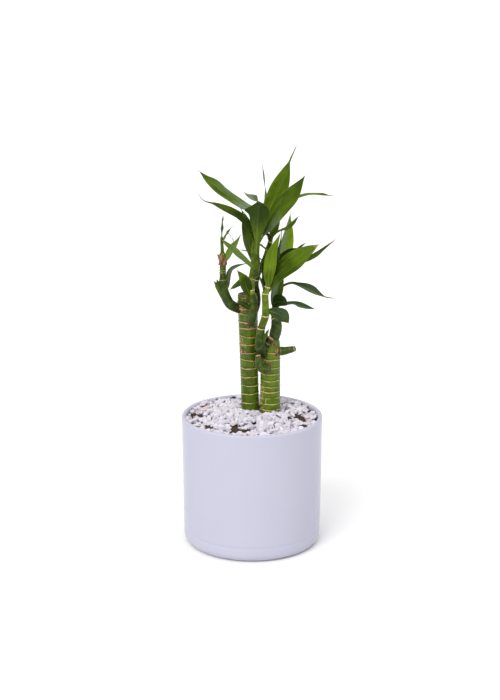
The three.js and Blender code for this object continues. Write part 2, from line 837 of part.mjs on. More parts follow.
// A layer of chips: each rises to its own top, and valleys run between the gaps round it.
function gravelSolid(canes) {
  const random = seededRandom(3);
  const wall = potRadius(SOIL_TOP) - POT_WALL - GAP;
  const low = (x, y) => gravelHeight(x, y) - CHIP_GAP_DEPTH;
  const points = chipPlaces(random, wall).map(([x, y, rise]) => vector([x, y, low(x, y) + rise]));
  const leftGap = new Map();
  for (const cell of chipCells()) {
    const gap = new THREE.Vector3();
    for (const corner of cell) gap.addScaledVector(points[corner], 1 / 3);
    gap.z = low(gap.x, gap.y) - CHIP_GAP_SPREAD * random();
    const index = points.push(gap) - 1;
    cell.forEach((corner, k) => leftGap.set(`${corner},${cell[(k + 1) % 3]}`, index));
  }
  const triangles = [];
  const underside = SOIL_TOP + GAP;
  const middle = points.push(vector([0, 0, underside])) - 1;
  const footOf = new Map();
  const foot = (corner) => {
    if (!footOf.has(corner)) {
      footOf.set(corner, points.push(points[corner].clone().setZ(underside)) - 1);
    }
    return footOf.get(corner);
  };
  for (const [edge, left] of leftGap) {
    const [from, to] = edge.split(",").map(Number);
    const right = leftGap.get(`${to},${from}`);
    if (right !== undefined) {
      triangles.push([from, right, left]);
      continue;
    }
    triangles.push([from, to, left], [foot(from), to, from], [foot(from), foot(to), to]);
    triangles.push([middle, foot(to), foot(from)]);
  }
  const heap = solidOf(geometryOf(points, triangles));
  return largestPiece(canes.reduce((gravel, hole) => gravel.subtract(hole), heap));
}

// Finishes

function finish(color, roughness) {
  return new THREE.MeshStandardMaterial({ color, roughness, metalness: 0 });
}
const glaze = () => finish(0xd6d5e4, 0.25);
const stone = () => finish(0xcbc5cd, 0.8);
const earth = () => finish(0x4a3d3d, 0.95);
const bark = () => finish(0x4d6320, 0.5);
const stem = () => finish(0x4f6d22, 0.45);
const leaf = () => finish(0x47651b, 0.4);

// Putting it together

const plant = new THREE.Group();

function place(name, geometry, material) {
  const mesh = new THREE.Mesh(geometry, material);
  mesh.name = name;
  plant.add(mesh);
}

const caneSpecs = { cane_tall: caneTall, cane_short: { ...caneShort, stubs: shortCaneStubs } };
const grown = {};

// A cane with what grew fast to it, made larger all round by grow.
function caneSolid(name, grow) {
  const { stubs = [], ...spec } = caneSpecs[name];
  const pieces = stubs.map((stub) => solidOf(shoot({ ...stub, grow })));
  return wasm.Manifold.union([solidOf(cane({ ...spec, grow })), ...pieces]);
}

place("pot", potGeometry(), glaze());

for (const name of Object.keys(caneSpecs)) {
  grown[name] = caneSolid(name, GAP);
  place(name, geometryOfSolid(caneSolid(name, 0)), bark());
}

// A shoot with its torn sheath, if it has one, made larger all round by grow.
function shootSolid({ stub, ...spec }, grow) {
  const stem = solidOf(shoot({ ...spec, grow }));
  return stub ? stem.add(solidOf(shoot({ path: stub, grow }))) : stem;
}

// The holes in soil and gravel go one gap deeper than the canes.
const deepened = (solid) => wasm.Manifold.union([solid, solid.translate([0, 0, -GAP])]);
const holes = Object.values(grown).map(deepened);
place("soil", geometryOfSolid(soilSolid(holes)), earth());
place("gravel", geometryOfSolid(gravelSolid(holes)), stone());

for (const [name, spec] of Object.entries(shoots)) {
  grown[name] = shootSolid(spec, GAP);
  const cut = shootSolid(spec, 0).subtract(grown[spec.on]);
  place(name, geometryOfSolid(largestPiece(cut)), stem());
}

for (const [name, spec] of Object.entries(leaves)) {
  const cut = solidOf(blade(spec)).subtract(grown[spec.on]);
  place(name, geometryOfSolid(largestPiece(cut)), leaf());
}

export default plant;
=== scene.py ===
"""The looks of a potted lucky bamboo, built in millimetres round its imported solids.

Run as a script, it registers itself as an add-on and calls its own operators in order.
"""
import itertools
import math
import random

import bmesh
import bpy
import numpy as np
from bpy.props import FloatProperty, FloatVectorProperty, IntProperty, PointerProperty
from mathutils import Euler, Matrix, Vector


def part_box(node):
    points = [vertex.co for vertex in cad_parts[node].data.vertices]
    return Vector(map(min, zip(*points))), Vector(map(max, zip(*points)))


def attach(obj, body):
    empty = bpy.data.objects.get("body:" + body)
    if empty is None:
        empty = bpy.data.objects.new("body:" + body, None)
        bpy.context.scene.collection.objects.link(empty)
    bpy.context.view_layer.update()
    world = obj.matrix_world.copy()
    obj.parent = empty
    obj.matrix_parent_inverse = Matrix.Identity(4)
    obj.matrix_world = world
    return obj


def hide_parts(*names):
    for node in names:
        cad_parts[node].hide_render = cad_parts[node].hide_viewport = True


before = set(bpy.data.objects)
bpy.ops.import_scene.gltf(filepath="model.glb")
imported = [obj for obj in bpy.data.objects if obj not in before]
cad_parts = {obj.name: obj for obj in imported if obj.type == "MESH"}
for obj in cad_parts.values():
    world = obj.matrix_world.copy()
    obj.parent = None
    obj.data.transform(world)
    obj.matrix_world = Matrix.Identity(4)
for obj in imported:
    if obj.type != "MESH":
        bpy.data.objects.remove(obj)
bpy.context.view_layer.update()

bl_info = {
    "name": "Lucky Bamboo in a White Pot",
    "version": (1, 0, 0),
    "blender": (4, 5, 0),
    "location": "View3D > Sidebar > Lucky Bamboo",
    "description": "Dresses a potted lucky bamboo: glaze, gravel, ringed canes, shoots and veined leaves",
    "category": "Object",
}

MM = 0.001
ROOT = "root"

# Sizes that come from the frame, in millimetres
POT_LOW, POT_HIGH = (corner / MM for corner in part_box("pot"))
POT_RADIUS = (POT_HIGH.x - POT_LOW.x) / 2
POT_HEIGHT = POT_HIGH.z
SOIL_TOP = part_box("soil")[1].z / MM
SOIL_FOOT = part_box("soil")[0].z / MM
CANE_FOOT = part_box("cane_tall")[0].z / MM

# The pot's own sizes
POT_TAPER = 1.3
FLOOR = 6
FLOOR_ROUND = 5
FOOT_ROUND = 9
GROOVE_HEIGHT = 15
GROOVE_HALF_WIDTH = 1.6
FOOT_RECESS = 1.2
FOOT_RECESS_RADIUS = 54
POT_SIDES = 160
WOBBLE_LENGTH = 38

# The gravel's level, heaped round the canes and a little towards the back
BED_TOP = 127.6
MOUND = 3.4
MOUND_REACH = 34
MOUND_MIDDLE = (7, 14)
BACK_RISE = 2.2


def srgb(red, green, blue):
    """A colour from the usual 0 to 255 values, as the linear values that shaders take."""
    values = [channel / 255 for channel in (red, green, blue)]
    linear = [v / 12.92 if v <= 0.04045 else ((v + 0.055) / 1.055) ** 2.4 for v in values]
    return (*linear, 1.0)


# Numbers and curves

def seeded_numbers(seed):
    """An endless, repeatable run of numbers from 0 to 1."""
    state = seed
    while True:
        state = (state * 1664525 + 1013904223) % 2**32
        yield state / 2**32


def smooth(value, low, high):
    """0 below low, 1 above high and an even S between them."""
    share = np.clip((np.asarray(value, float) - low) / (high - low), 0, 1)
    return share * share * (3 - 2 * share)


def hump(value, width):
    """A bell of height 1 at 0."""
    return np.exp(-((value / width) ** 2))


def full_turn(sides):
    """Angles at even steps round a circle."""
    return np.linspace(0, 2 * math.pi, sides, endpoint=False)


def circle_at(angles):
    """Points of a circle of radius 1 at angles."""
    return np.stack([np.cos(angles), np.sin(angles)], -1)


def angle_from(angles, degrees):
    """Angles as measured from a side, from -pi to pi."""
    return (angles - math.radians(degrees) + math.pi) % (2 * math.pi) - math.pi


def grain(points, size, seed=0):
    """Smooth noise from -1 to 1 at points of any number of coordinates, with bumps about size apart."""
    places = np.asarray(points, float) / size
    cell = np.floor(places).astype(np.int64)
    share = places - cell
    share = share * share * (3 - 2 * share)
    primes = np.array([73856093, 19349663, 83492791])[: places.shape[-1]]
    total = np.zeros(places.shape[:-1])
    for corner in itertools.product((0, 1), repeat=places.shape[-1]):
        mixed = ((cell + corner) * primes).sum(-1) + 374761393 * (seed + 1)
        mixed = (mixed ^ (mixed >> 13)) * 1274126177 & 0xFFFFFFFF
        mixed = (mixed ^ (mixed >> 16)) & 0xFFFF
        weight = np.where(corner, share, 1 - share).prod(-1)
        total += weight * (mixed / 32767.5 - 1)
    return total


def spline(points, places):
    """Points at places from 0 to 1 on a centripetal curve through given points."""
    knots = np.array(points, float)
    knots = np.vstack([2 * knots[0] - knots[1], knots, 2 * knots[-1] - knots[-2]])
    place = np.clip(places, 0, 1) * (len(knots) - 3)
    start = np.minimum(place.astype(int), len(knots) - 4)
    share = (place - start)[:, None]
    a, b, c, d = (knots[start + k] for k in range(4))
    first, second, third = (
        np.sqrt(np.linalg.norm(far - near, axis=1))[:, None] for near, far in ((a, b), (b, c), (c, d))
    )
    leaving = ((b - a) / first - (c - a) / (first + second) + (c - b) / second) * second
    arriving = ((c - b) / second - (d - b) / (second + third) + (d - c) / third) * second
    squared = share * share
    cubed = squared * share
    return (
        b
        + leaving * share
        + (3 * (c - b) - 2 * leaving - arriving) * squared
        + (2 * (b - c) + leaving + arriving) * cubed
    )


def unit(vectors):
    """Vectors of length 1 in the same directions."""
    return vectors / np.linalg.norm(vectors, axis=-1, keepdims=True)


def directions(points):
    """The way a row of points goes, at each of them."""
    return unit(np.gradient(points, axis=0))


def run_along(points):
    """Distance along a row of points, at each of them."""
    steps = np.linalg.norm(np.diff(points, axis=0), axis=1)
    return np.concatenate([[0], np.cumsum(steps)])


def soft_interp(place, places, values, reach):
    """Values in between those given at places, with the corners rounded over reach."""
    return sum(np.interp(place + shift, places, values) for shift in (-reach, 0, reach)) / 3


def even_spline(points, count):
    """Points and directions at even steps along a curve through given points, and its length."""
    places = np.linspace(0, 1, 600)
    run = run_along(spline(points, places))
    centres = spline(points, np.interp(np.linspace(0, run[-1], count), run, places))
    return centres, directions(centres), run[-1]


# Meshes

def round_body(rows):
    """Points and faces of rings joined in order and closed at both ends, each by one point."""
    count, sides, _ = rows.shape
    points = np.vstack([rows.reshape(-1, 3), rows[0].mean(0), rows[-1].mean(0)])
    near = np.arange(sides)
    far = (near + 1) % sides
    start = (np.arange(count - 1) * sides)[:, None]
    quads = np.stack([start + near, start + far, start + far + sides, start + near + sides], -1)
    faces = quads.reshape(-1, 4).tolist()
    first = count * sides
    top = (count - 1) * sides
    faces += [(first, int(b), int(a)) for a, b in zip(near, far)]
    faces += [(first + 1, top + int(a), top + int(b)) for a, b in zip(near, far)]
    return points, faces


def round_shade(values):
    """A shade over the rings of a round body, with the ends' own points added."""
    return np.concatenate([values.ravel(), [values[0].mean(), values[-1].mean()]])


def add_piece(name, points, faces, material, nodes=(), shades=None, flat=False):
    """Makes a piece from points in millimetres, which rides on the body and may stand for solids."""
    mesh = bpy.data.meshes.new(name)
    mesh.from_pydata((np.asarray(points) * MM).tolist(), [], faces)
    for shade, values in (shades or {}).items():
        layer = mesh.attributes.new(shade, "FLOAT", "POINT")
        layer.data.foreach_set("value", np.asarray(values, np.float32).ravel())
    mesh.polygons.foreach_set("use_smooth", [not flat] * len(mesh.polygons))
    mesh.materials.append(material)
    piece = bpy.data.objects.new(name, mesh)
    bpy.context.scene.collection.objects.link(piece)
    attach(piece, ROOT)
    if nodes:
        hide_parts(*nodes)


# Finishes

class Finish:
    """A material whose colours, gloss and relief come from nodes."""

    def __init__(self, name, **sockets):
        self.material = bpy.data.materials.new(name)
        self.material.use_nodes = True
        self.tree = self.material.node_tree
        self.surface = self.tree.nodes["Principled BSDF"]
        for socket, value in sockets.items():
            self.surface.inputs[socket.replace("_", " ")].default_value = value
        self.place = self.tree.nodes.new("ShaderNodeTexCoord").outputs["Object"]

    def put(self, socket, value):
        """Gives a socket a constant or another node's output."""
        if isinstance(value, bpy.types.NodeSocket):
            self.tree.links.new(value, socket)
        else:
            socket.default_value = value

    def shade(self, name):
        """A shade that the mesh carries at its points."""
        node = self.tree.nodes.new("ShaderNodeAttribute")
        node.attribute_name = name
        return node.outputs["Fac"]

    def height(self):
        """Height over the ground, in metres."""
        node = self.tree.nodes.new("ShaderNodeSeparateXYZ")
        self.put(node.inputs[0], self.place)
        return node.outputs["Z"]

    def count(self, operation, *values):
        """One step of arithmetic."""
        node = self.tree.nodes.new("ShaderNodeMath")
        node.operation = operation
        for socket, value in zip(node.inputs, values):
            self.put(socket, value)
        return node.outputs[0]

    def plus(self, first, second):
        """Two values added."""
        return self.count("ADD", first, second)

    def times(self, first, second):
        """Two values multiplied."""
        return self.count("MULTIPLY", first, second)

    def noise(self, size, detail=3.0, stretch=(1, 1, 1), roughness=0.5):
        """Noise from 0 to 1 with bumps about size millimetres apart, longer where stretch is more."""
        mapping = self.tree.nodes.new("ShaderNodeMapping")
        mapping.inputs["Scale"].default_value = [1 / s for s in stretch]
        self.put(mapping.inputs["Vector"], self.place)
        node = self.tree.nodes.new("ShaderNodeTexNoise")
        node.inputs["Scale"].default_value = 1 / (size * MM)
        node.inputs["Detail"].default_value = detail
        node.inputs["Roughness"].default_value = roughness
        self.put(node.inputs["Vector"], mapping.outputs[0])
        return node.outputs["Fac"]

    def grain_along(self, across, along, width, length, detail=2.0):
        """Noise from 0 to 1 in streaks width by length, over two of the mesh's shades in millimetres."""
        place = self.tree.nodes.new("ShaderNodeCombineXYZ")
        self.put(place.inputs["X"], self.count("DIVIDE", across, width))
        self.put(place.inputs["Y"], self.count("DIVIDE", along, length))
        self.put(place.inputs["Z"], self.shade("seed"))
        node = self.tree.nodes.new("ShaderNodeTexNoise")
        node.inputs["Scale"].default_value = 1.0
        node.inputs["Detail"].default_value = detail
        self.put(node.inputs["Vector"], place.outputs[0])
        return node.outputs["Fac"]

    def cells(self, size):
        """Distance to the nearest of many scattered points about size millimetres apart."""
        node = self.tree.nodes.new("ShaderNodeTexVoronoi")
        node.inputs["Scale"].default_value = 1 / (size * MM)
        self.put(node.inputs["Vector"], self.place)
        return node.outputs["Distance"]

    def ease(self, value, low, high, least=0.0, most=1.0):
        """An even S from least, where value is low, to most, where it is high."""
        node = self.tree.nodes.new("ShaderNodeMapRange")
        node.interpolation_type = "SMOOTHSTEP"
        ends = {"Value": value, "From Min": low, "From Max": high, "To Min": least, "To Max": most}
        for name, entry in ends.items():
            self.put(node.inputs[name], entry)
        return node.outputs["Result"]

    def sway(self, share, noise, reach):
        """A share moved down or up by reach at most, as a noise goes from low to high."""
        return self.plus(share, self.ease(noise, 0.3, 0.7, -reach, reach))

    def blend(self, share, first, second):
        """One colour turning into another as share goes from 0 to 1."""
        node = self.tree.nodes.new("ShaderNodeMix")
        node.data_type = "RGBA"
        self.put(node.inputs["Factor"], share)
        self.put(node.inputs["A"], first)
        self.put(node.inputs["B"], second)
        return node.outputs["Result"]

    def colour(self, value):
        """Sets the surface's colour."""
        self.put(self.surface.inputs["Base Color"], value)

    def gloss(self, value):
        """Sets the surface's roughness."""
        self.put(self.surface.inputs["Roughness"], value)

    def relief(self, height, depth, strength=1.0):
        """Fine relief, depth millimetres from its lowest to its highest."""
        node = self.tree.nodes.new("ShaderNodeBump")
        node.inputs["Strength"].default_value = strength
        node.inputs["Distance"].default_value = depth * MM
        self.put(node.inputs["Height"], height)
        before = self.surface.inputs["Normal"]
        if before.links:
            self.put(node.inputs["Normal"], before.links[0].from_socket)
        self.put(before, node.outputs[0])


# The pot

def pot_radius(height):
    """The pot's outer radius at a height: it narrows evenly from rim to foot."""
    return POT_RADIUS - POT_TAPER * (1 - height / POT_HEIGHT)


def arc(middle_x, middle_z, radius, start, end, steps):
    """Points of an arc in a profile, from one angle in degrees to another."""
    angles = np.radians(np.linspace(start, end, steps + 1))
    return ((middle_x, middle_z) + radius * circle_at(angles)).tolist()


def pot_profile(wall, groove_depth):
    """The pot's section from the middle of its foot, up the outside and down the inside."""
    foot = pot_radius(FOOT_ROUND)
    recess = [[2, FOOT_RECESS], [FOOT_RECESS_RADIUS - 8, FOOT_RECESS]]
    recess += arc(FOOT_RECESS_RADIUS - 3, 0, FOOT_RECESS, 90, 0, 5)
    outside = [[FOOT_RECESS_RADIUS, 0]] + arc(foot - FOOT_ROUND, FOOT_ROUND, FOOT_ROUND, -90, 0, 10)
    heights = np.concatenate([
        np.linspace(FOOT_ROUND + 0.6, GROOVE_HEIGHT + 5, 36),
        np.linspace(GROOVE_HEIGHT + 7, POT_HEIGHT - wall, 56),
    ])
    cut = groove_depth * hump(heights - GROOVE_HEIGHT, GROOVE_HALF_WIDTH)
    outside += np.stack([pot_radius(heights) - cut, heights], -1).tolist()
    half = wall / 2
    rim = arc(pot_radius(POT_HEIGHT) - half, POT_HEIGHT - half, half, 0, 180, 16)
    down = [[pot_radius(h) - wall, h] for h in np.linspace(POT_HEIGHT - wall, FLOOR + 8, 24)]
    inner = pot_radius(FLOOR) - wall
    inside = arc(inner - FLOOR_ROUND, FLOOR + FLOOR_ROUND, FLOOR_ROUND, 0, -90, 6)
    return np.array(recess + outside + rim + down + inside + [[2, FLOOR]])


def make_pot(settings):
    """The thrown pot, whose wall is never quite true."""
    profile = pot_profile(settings.wall / MM, settings.groove_depth / MM)
    ways = circle_at(full_turn(POT_SIDES))
    rows = np.zeros((len(profile), POT_SIDES, 3))
    rows[..., :2] = profile[:, None, :1] * ways
    rows[..., 2] = profile[:, 1:]
    wobble = settings.wobble / MM * grain(rows, WOBBLE_LENGTH, 5)
    wobble *= smooth(rows[..., 2], 2, 12) * smooth(np.hypot(rows[..., 0], rows[..., 1]), 50, 62)
    rows[..., :2] += wobble[..., None] * ways
    points, faces = round_body(rows)
    add_piece("pot_glazed", points, faces, glaze_finish(settings), ["pot"])


def glaze_finish(settings):
    """White glaze with faint scratches, dust and pinholes, and bare clay under the foot."""
    finish = Finish("glaze", Specular_IOR_Level=0.07, Coat_Weight=0.03, Coat_Roughness=0.06)
    tint = finish.blend(finish.noise(40, 2), settings.glaze, settings.glaze_shade)
    speck = finish.ease(finish.cells(9), 0.045, 0.03)
    speck = finish.times(speck, finish.ease(finish.noise(17, 1), 0.64, 0.7))
    tint = finish.blend(finish.times(speck, 0.3), tint, settings.dust)
    bare = finish.ease(finish.height(), 1.4 * MM, 0.5 * MM)
    clay = finish.blend(finish.noise(3, 5), settings.clay, settings.clay_shade)
    finish.colour(finish.blend(bare, tint, clay))
    # Long fine scratches, thin where the stretched noise crosses its middle
    scratch = finish.count("ABSOLUTE", finish.count("SUBTRACT", finish.noise(7, 0, (1, 1, 9)), 0.5))
    scratch = finish.times(finish.ease(scratch, 0.006, 0.0), finish.ease(finish.noise(30, 1), 0.58, 0.66))
    worn = finish.ease(finish.noise(14, 4), 0.3, 0.8, 0.16, 0.24)
    worn = finish.plus(worn, finish.times(scratch, 0.2))
    finish.gloss(finish.plus(worn, finish.times(bare, 0.5)))
    finish.relief(finish.times(scratch, -1.0), 0.03, 0.4)
    finish.relief(finish.times(bare, finish.noise(0.8, 3)), 0.25, 0.6)
    return finish.material


# Soil and gravel

# Where soil shows among the chips: middle x, y, half length, half width, and the angle of its length
SOIL_PATCHES = [
    (-17.5, -36, 10.5, 5.2, 84),
    (-7, -41.5, 7, 4.6, 10),
    (38, -9, 5.4, 2.2, 80),
    (48, -1, 14, 3, 112),
    (49.5, -27, 5.5, 3.2, 60),
    (60, 22, 5, 2.4, 70),
    (-56, 9.5, 9, 3, 150),
    (-60.5, -2, 9, 2.8, 97),
    (-44, -28, 9, 2.8, 135),
    (-20.8, 61, 4.6, 2.6, 0),
    (16.5, -52, 1.6, 1, 90),
    (33, 20.5, 5, 2, 0),
]
PATCH_RAGGED = 0.55

# The plug of soil, inside the pot's wall
SOIL_INSET = 5
SOIL_SIDES = 240
SOIL_RINGS = 130

# The bed that chips are laid on, with its grid and what stays clear of wall, canes and bare soil
BED_CELL = 0.8
BED_DEPTH = 6.5
CHIP_INSET = 4.8
WALL_CLEARANCE = 1.2
CANE_CLEARANCE = 0.9
PATCH_CLEARANCE = 1.2

# The chips: how many shapes there are, each from how many scattered points, how many chips are
# laid at most, how far they lean, in radians, and from what draw on they are rosy
STONE_SHAPES = 28
STONE_CORNERS = 15
MOST_CHIPS = 2200
CHIP_TILT = 0.22
ROSY_FROM = 0.66


def gravel_level(x, y):
    """The height that the chips are heaped to."""
    away = np.hypot(x - MOUND_MIDDLE[0], y - MOUND_MIDDLE[1]) / MOUND_REACH
    back = smooth(y, 10, 55) * smooth(np.hypot(x, y), 30, 62)
    return BED_TOP + MOUND * np.exp(-away * away) + BACK_RISE * back


def bare_soil(x, y, more=0):
    """1 where soil shows among the chips, 0 under them, with every patch wider by more."""
    bare = np.zeros(np.shape(x))
    ragged = PATCH_RAGGED * grain(np.stack([x, y], -1), 2.4, 9)
    for middle_x, middle_y, length, width, degrees in SOIL_PATCHES:
        c = math.cos(math.radians(degrees))
        s = math.sin(math.radians(degrees))
        along = ((x - middle_x) * c + (y - middle_y) * s) / (length + more)
        across = ((y - middle_y) * c - (x - middle_x) * s) / (width + more)
        bare = np.maximum(bare, smooth(along**2 + across**2 + ragged, 1.3, 0.7))
    return bare


def make_soil(settings):
    """The plug of soil, with crumbs on top that stand up where the chips leave it bare."""
    inner = pot_radius(SOIL_TOP) - SOIL_INSET
    walls = [(20, SOIL_FOOT), (58, SOIL_FOOT), (62, SOIL_FOOT + 3), (inner - 1, 40), (inner, SOIL_TOP - 2)]
    radii = np.array([radius for radius, _ in walls] + np.linspace(inner, 1, SOIL_RINGS).tolist())
    heights = np.array([height for _, height in walls] + [SOIL_TOP] * SOIL_RINGS, float)
    rows = np.zeros((len(radii), SOIL_SIDES, 3))
    rows[..., :2] = radii[:, None, None] * circle_at(full_turn(SOIL_SIDES))
    rows[..., 2] = heights[:, None]
    top = rows[len(walls):]
    x, y = top[..., 0], top[..., 1]
    size = settings.crumb_size / MM
    crumbs = grain(top[..., :2], size, 1) + 0.6 * grain(top[..., :2], size * 0.45, 2)
    lumps = grain(top[..., :2], size * 2.6, 3)
    bare = bare_soil(x, y) * smooth(inner - np.hypot(x, y), 0, 2)
    lift = gravel_level(x, y) - 0.3 - SOIL_TOP
    top[..., 2] += 0.25 + bare * (lift + 0.9 * lumps) + (0.25 + 0.75 * bare) * 0.7 * crumbs
    points, faces = round_body(rows)
    add_piece("soil_crumbly", points, faces, soil_finish(settings), ["soil"])


def soil_finish(settings):
    """Dark peaty soil with paler fibres and specks."""
    finish = Finish("soil", Roughness=0.95, Specular_IOR_Level=0.25)
    crumbs = finish.noise(1.6, 5, roughness=0.7)
    tint = finish.blend(finish.ease(crumbs, 0.35, 0.75), settings.soil, settings.soil_light)
    fibre = finish.ease(finish.noise(1.4, 2, (1, 6, 1)), 0.68, 0.74)
    finish.colour(finish.blend(fibre, tint, settings.fibre))
    finish.relief(crumbs, 1.0, 0.8)
    return finish.material


def stone_shape(dice, flatness):
    """The points and faces of one broken chip about 1 across: a hull of scattered points, edges worn."""
    stone = bmesh.new()
    for _ in range(STONE_CORNERS):
        way = Vector((dice.gauss(0, 1), dice.gauss(0, 1), dice.gauss(0, 1))).normalized()
        way *= dice.uniform(0.86, 1.0)
        stone.verts.new((way.x * 0.5, way.y * dice.uniform(0.34, 0.42), way.z * flatness))
    hull = bmesh.ops.convex_hull(stone, input=stone.verts)
    bmesh.ops.delete(stone, geom=list(set(hull["geom_interior"] + hull["geom_unused"])), context="VERTS")
    bmesh.ops.dissolve_limit(stone, angle_limit=math.radians(16), verts=stone.verts, edges=stone.edges)
    bmesh.ops.bevel(
        stone, geom=list(stone.edges), offset=0.035, segments=1, affect="EDGES", profile=0.5,
        clamp_overlap=True,
    )
    bmesh.ops.triangulate(stone, faces=stone.faces)
    bmesh.ops.recalc_face_normals(stone, faces=stone.faces)
    stone.verts.index_update()
    points = np.array([v.co for v in stone.verts])
    faces = np.array([[v.index for v in face.verts] for face in stone.faces])
    stone.free()
    # The hull comes in another order each time, so points and faces are sorted by place
    order = np.lexsort(points.T)
    faces = np.argsort(order)[faces]
    lowest_first = (np.argmin(faces, 1)[:, None] + np.arange(3)) % 3
    faces = np.take_along_axis(faces, lowest_first, 1)
    return points[order], faces[np.lexsort(faces.T)]


def lay_chips(dice, settings):
    """Drops chips one by one where the bed is lowest: each is (x, y, z, breadth)."""
    size = settings.chip_size / MM
    reach = pot_radius(SOIL_TOP) - CHIP_INSET
    axis = np.arange(-reach, reach + BED_CELL, BED_CELL)
    x, y = np.meshgrid(axis, axis, indexing="ij")
    level = gravel_level(x, y) + 0.7 * grain(np.stack([x, y], -1), 9, 8)
    bed = level - BED_DEPTH
    inside = np.hypot(x, y) < reach - WALL_CLEARANCE
    for name in CANES:
        middle_x, middle_y, radius = cane_at(name, BED_TOP)
        inside &= np.hypot(x - middle_x, y - middle_y) > radius + CANE_CLEARANCE
    bare = bare_soil(x, y, PATCH_CLEARANCE) > 0.5
    wish = np.where(inside & ~bare, level, -math.inf)
    laid = []
    while len(laid) < MOST_CHIPS:
        want = wish - bed
        i, j = np.unravel_index(np.argmax(want), want.shape)
        if want[i, j] < settings.gap / MM:
            break
        breadth = size * min(max(dice.gauss(1.0, 0.24), 0.6), 1.7)
        spot_x = x[i, j] + dice.uniform(-0.5, 0.5)
        spot_y = y[i, j] + dice.uniform(-0.5, 0.5)
        # It rests on the chips under its middle, and covers the bed with a low dome
        away = np.hypot(x - spot_x, y - spot_y)
        under = away < breadth * 0.34
        middle = float(np.mean(bed[under])) + breadth * 0.16
        dome = middle + breadth * 0.27 * np.sqrt(np.clip(1 - (away / (breadth * 0.5)) ** 2, 0, 1))
        covered = away < breadth * 0.48
        bed[covered] = np.maximum(bed[covered], dome[covered])
        laid.append((spot_x, spot_y, middle, breadth))
    return laid


def make_gravel(settings):
    """A bed of broken white chips, a few of them rosy, each lying a little tilted."""
    dice = random.Random(settings.seed)
    stones = [stone_shape(dice, dice.uniform(0.26, 0.36)) for _ in range(STONE_SHAPES)]
    kinds = {"gravel_white": [], "gravel_rosy": []}
    for x, y, z, breadth in lay_chips(dice, settings):
        rosy = grain(np.array([x, y]), 17, 4) * 0.5 + dice.uniform(-0.6, 0.6) > ROSY_FROM
        kinds["gravel_rosy" if rosy else "gravel_white"].append((x, y, z, breadth, dice.random()))
    for name, chips in kinds.items():
        points, faces, tints = [], [], []
        start = 0
        for x, y, z, breadth, tint in chips:
            shape, sides = dice.choice(stones)
            lean = Euler((dice.gauss(0, CHIP_TILT), dice.gauss(0, CHIP_TILT), dice.uniform(0, 2 * math.pi)))
            points.append(shape @ np.array(lean.to_matrix()).T * breadth + (x, y, z))
            faces.append(sides + start)
            tints.append(np.full(len(shape), tint))
            start += len(shape)
        nodes = ["gravel"] if name == "gravel_white" else []
        add_piece(
            name, np.vstack(points), np.vstack(faces).tolist(), chip_finish(name, settings),
            nodes, {"tint": np.concatenate(tints)}, flat=True,
        )


def chip_finish(name, settings):
    """Broken marble: sugary white or rosy faces with a few stains."""
    finish = Finish(name, Specular_IOR_Level=0.35)
    light, deep = settings.white, settings.grey
    if name == "gravel_rosy":
        light, deep = settings.rosy, settings.rosy_deep
    tint = finish.blend(finish.ease(finish.shade("tint"), 0.0, 1.0), deep, light)
    stain = finish.ease(finish.noise(5, 4), 0.58, 0.78, 0.0, 0.45)
    finish.colour(finish.blend(stain, tint, settings.stain))
    finish.gloss(finish.ease(finish.noise(1.1, 3), 0.3, 0.7, 0.5, 0.85))
    finish.relief(finish.noise(0.7, 4, roughness=0.7), 0.25, 0.5)
    return finish.material


# The canes

# foot and top are the axis's ends, radii and rings go by height, knots are lumps of scar tissue as
# (angle in degrees, height, half width, half height), with -90 degrees at the front, rootlets are
# (angle, lowest height, highest height), and tone runs from 0, deep green, to 1, bright green
CANES = {
    "cane_tall": {
        "foot": (0.3, 20.5),
        "top": (-4.6, 20.5),
        "radii": [(CANE_FOOT, 8.4), (130, 9), (157, 9), (205, 9.4), (240, 10), (247.5, 9.8), (249, 9)],
        "rings": [138, 147.5, 156, 165, 174, 182.5, 190, 198, 207, 215, 221.5, 230, 235.5, 241.5],
        "knots": [
            (-120, 236, 5.2, 3.2), (-96, 222, 2.4, 2.8), (-72, 218, 4.4, 1.8), (-114, 246.4, 5, 1.1),
            (-142, 202, 1.4, 4), (-122, 190.8, 4, 2.4), (-66, 130, 4, 1.8),
        ],
        "rootlets": [(-138, 198, 206), (-128, 199, 205), (-110, 196, 200), (-140, 188, 194), (-60, 178, 181)],
        "seed": 7,
        "tone": 0.46,
    },
    "cane_short": {
        "foot": (18.25, 15),
        "top": (18.25, 15),
        "radii": [
            (CANE_FOOT, 9.2), (128, 10.5), (140, 10.1), (158, 10), (197, 9.9), (202.5, 9.2), (205, 7.4),
            (206, 4.6),
        ],
        "rings": [133, 139, 144.5, 151, 156.5, 163.5, 170, 176, 184.5, 192],
        "knots": [
            (-118, 179, 3.2, 4.4), (-98, 176, 3, 1.6), (-42, 194, 4, 5), (-66, 200.6, 3.6, 1.4),
            (-160, 138.5, 2.6, 2.2), (-150, 133.5, 3, 2.4),
        ],
        "rootlets": [
            (-150, 139, 157), (-135, 150, 157), (-118, 139, 145), (-45, 188, 192), (-138, 143, 150),
            (-158, 158, 163),
        ],
        "seed": 11,
        "tone": 0.6,
    },
}
RING_SLANT = 0.9
RING_RISE = 0.36
RING_DIP = 0.16
CANE_SIDES = 128
FINE_FROM = 119
FINE_STEP = 0.4
CUT_ROUND = 1.5
CANE_LAYERS = ("tan", "above", "brown", "cut")


def cane_axis(spec, height):
    """Where the middle of a cane lies at a height."""
    foot, top = spec["radii"][0][0], spec["radii"][-1][0]
    share = (height - foot) / (top - foot)
    x = spec["foot"][0] + (spec["top"][0] - spec["foot"][0]) * share
    y = spec["foot"][1] + (spec["top"][1] - spec["foot"][1]) * share
    return x, y


def cane_at(name, height):
    """The middle and radius of a cane at a height."""
    spec = CANES[name]
    return *cane_axis(spec, height), np.interp(height, *zip(*spec["radii"]))


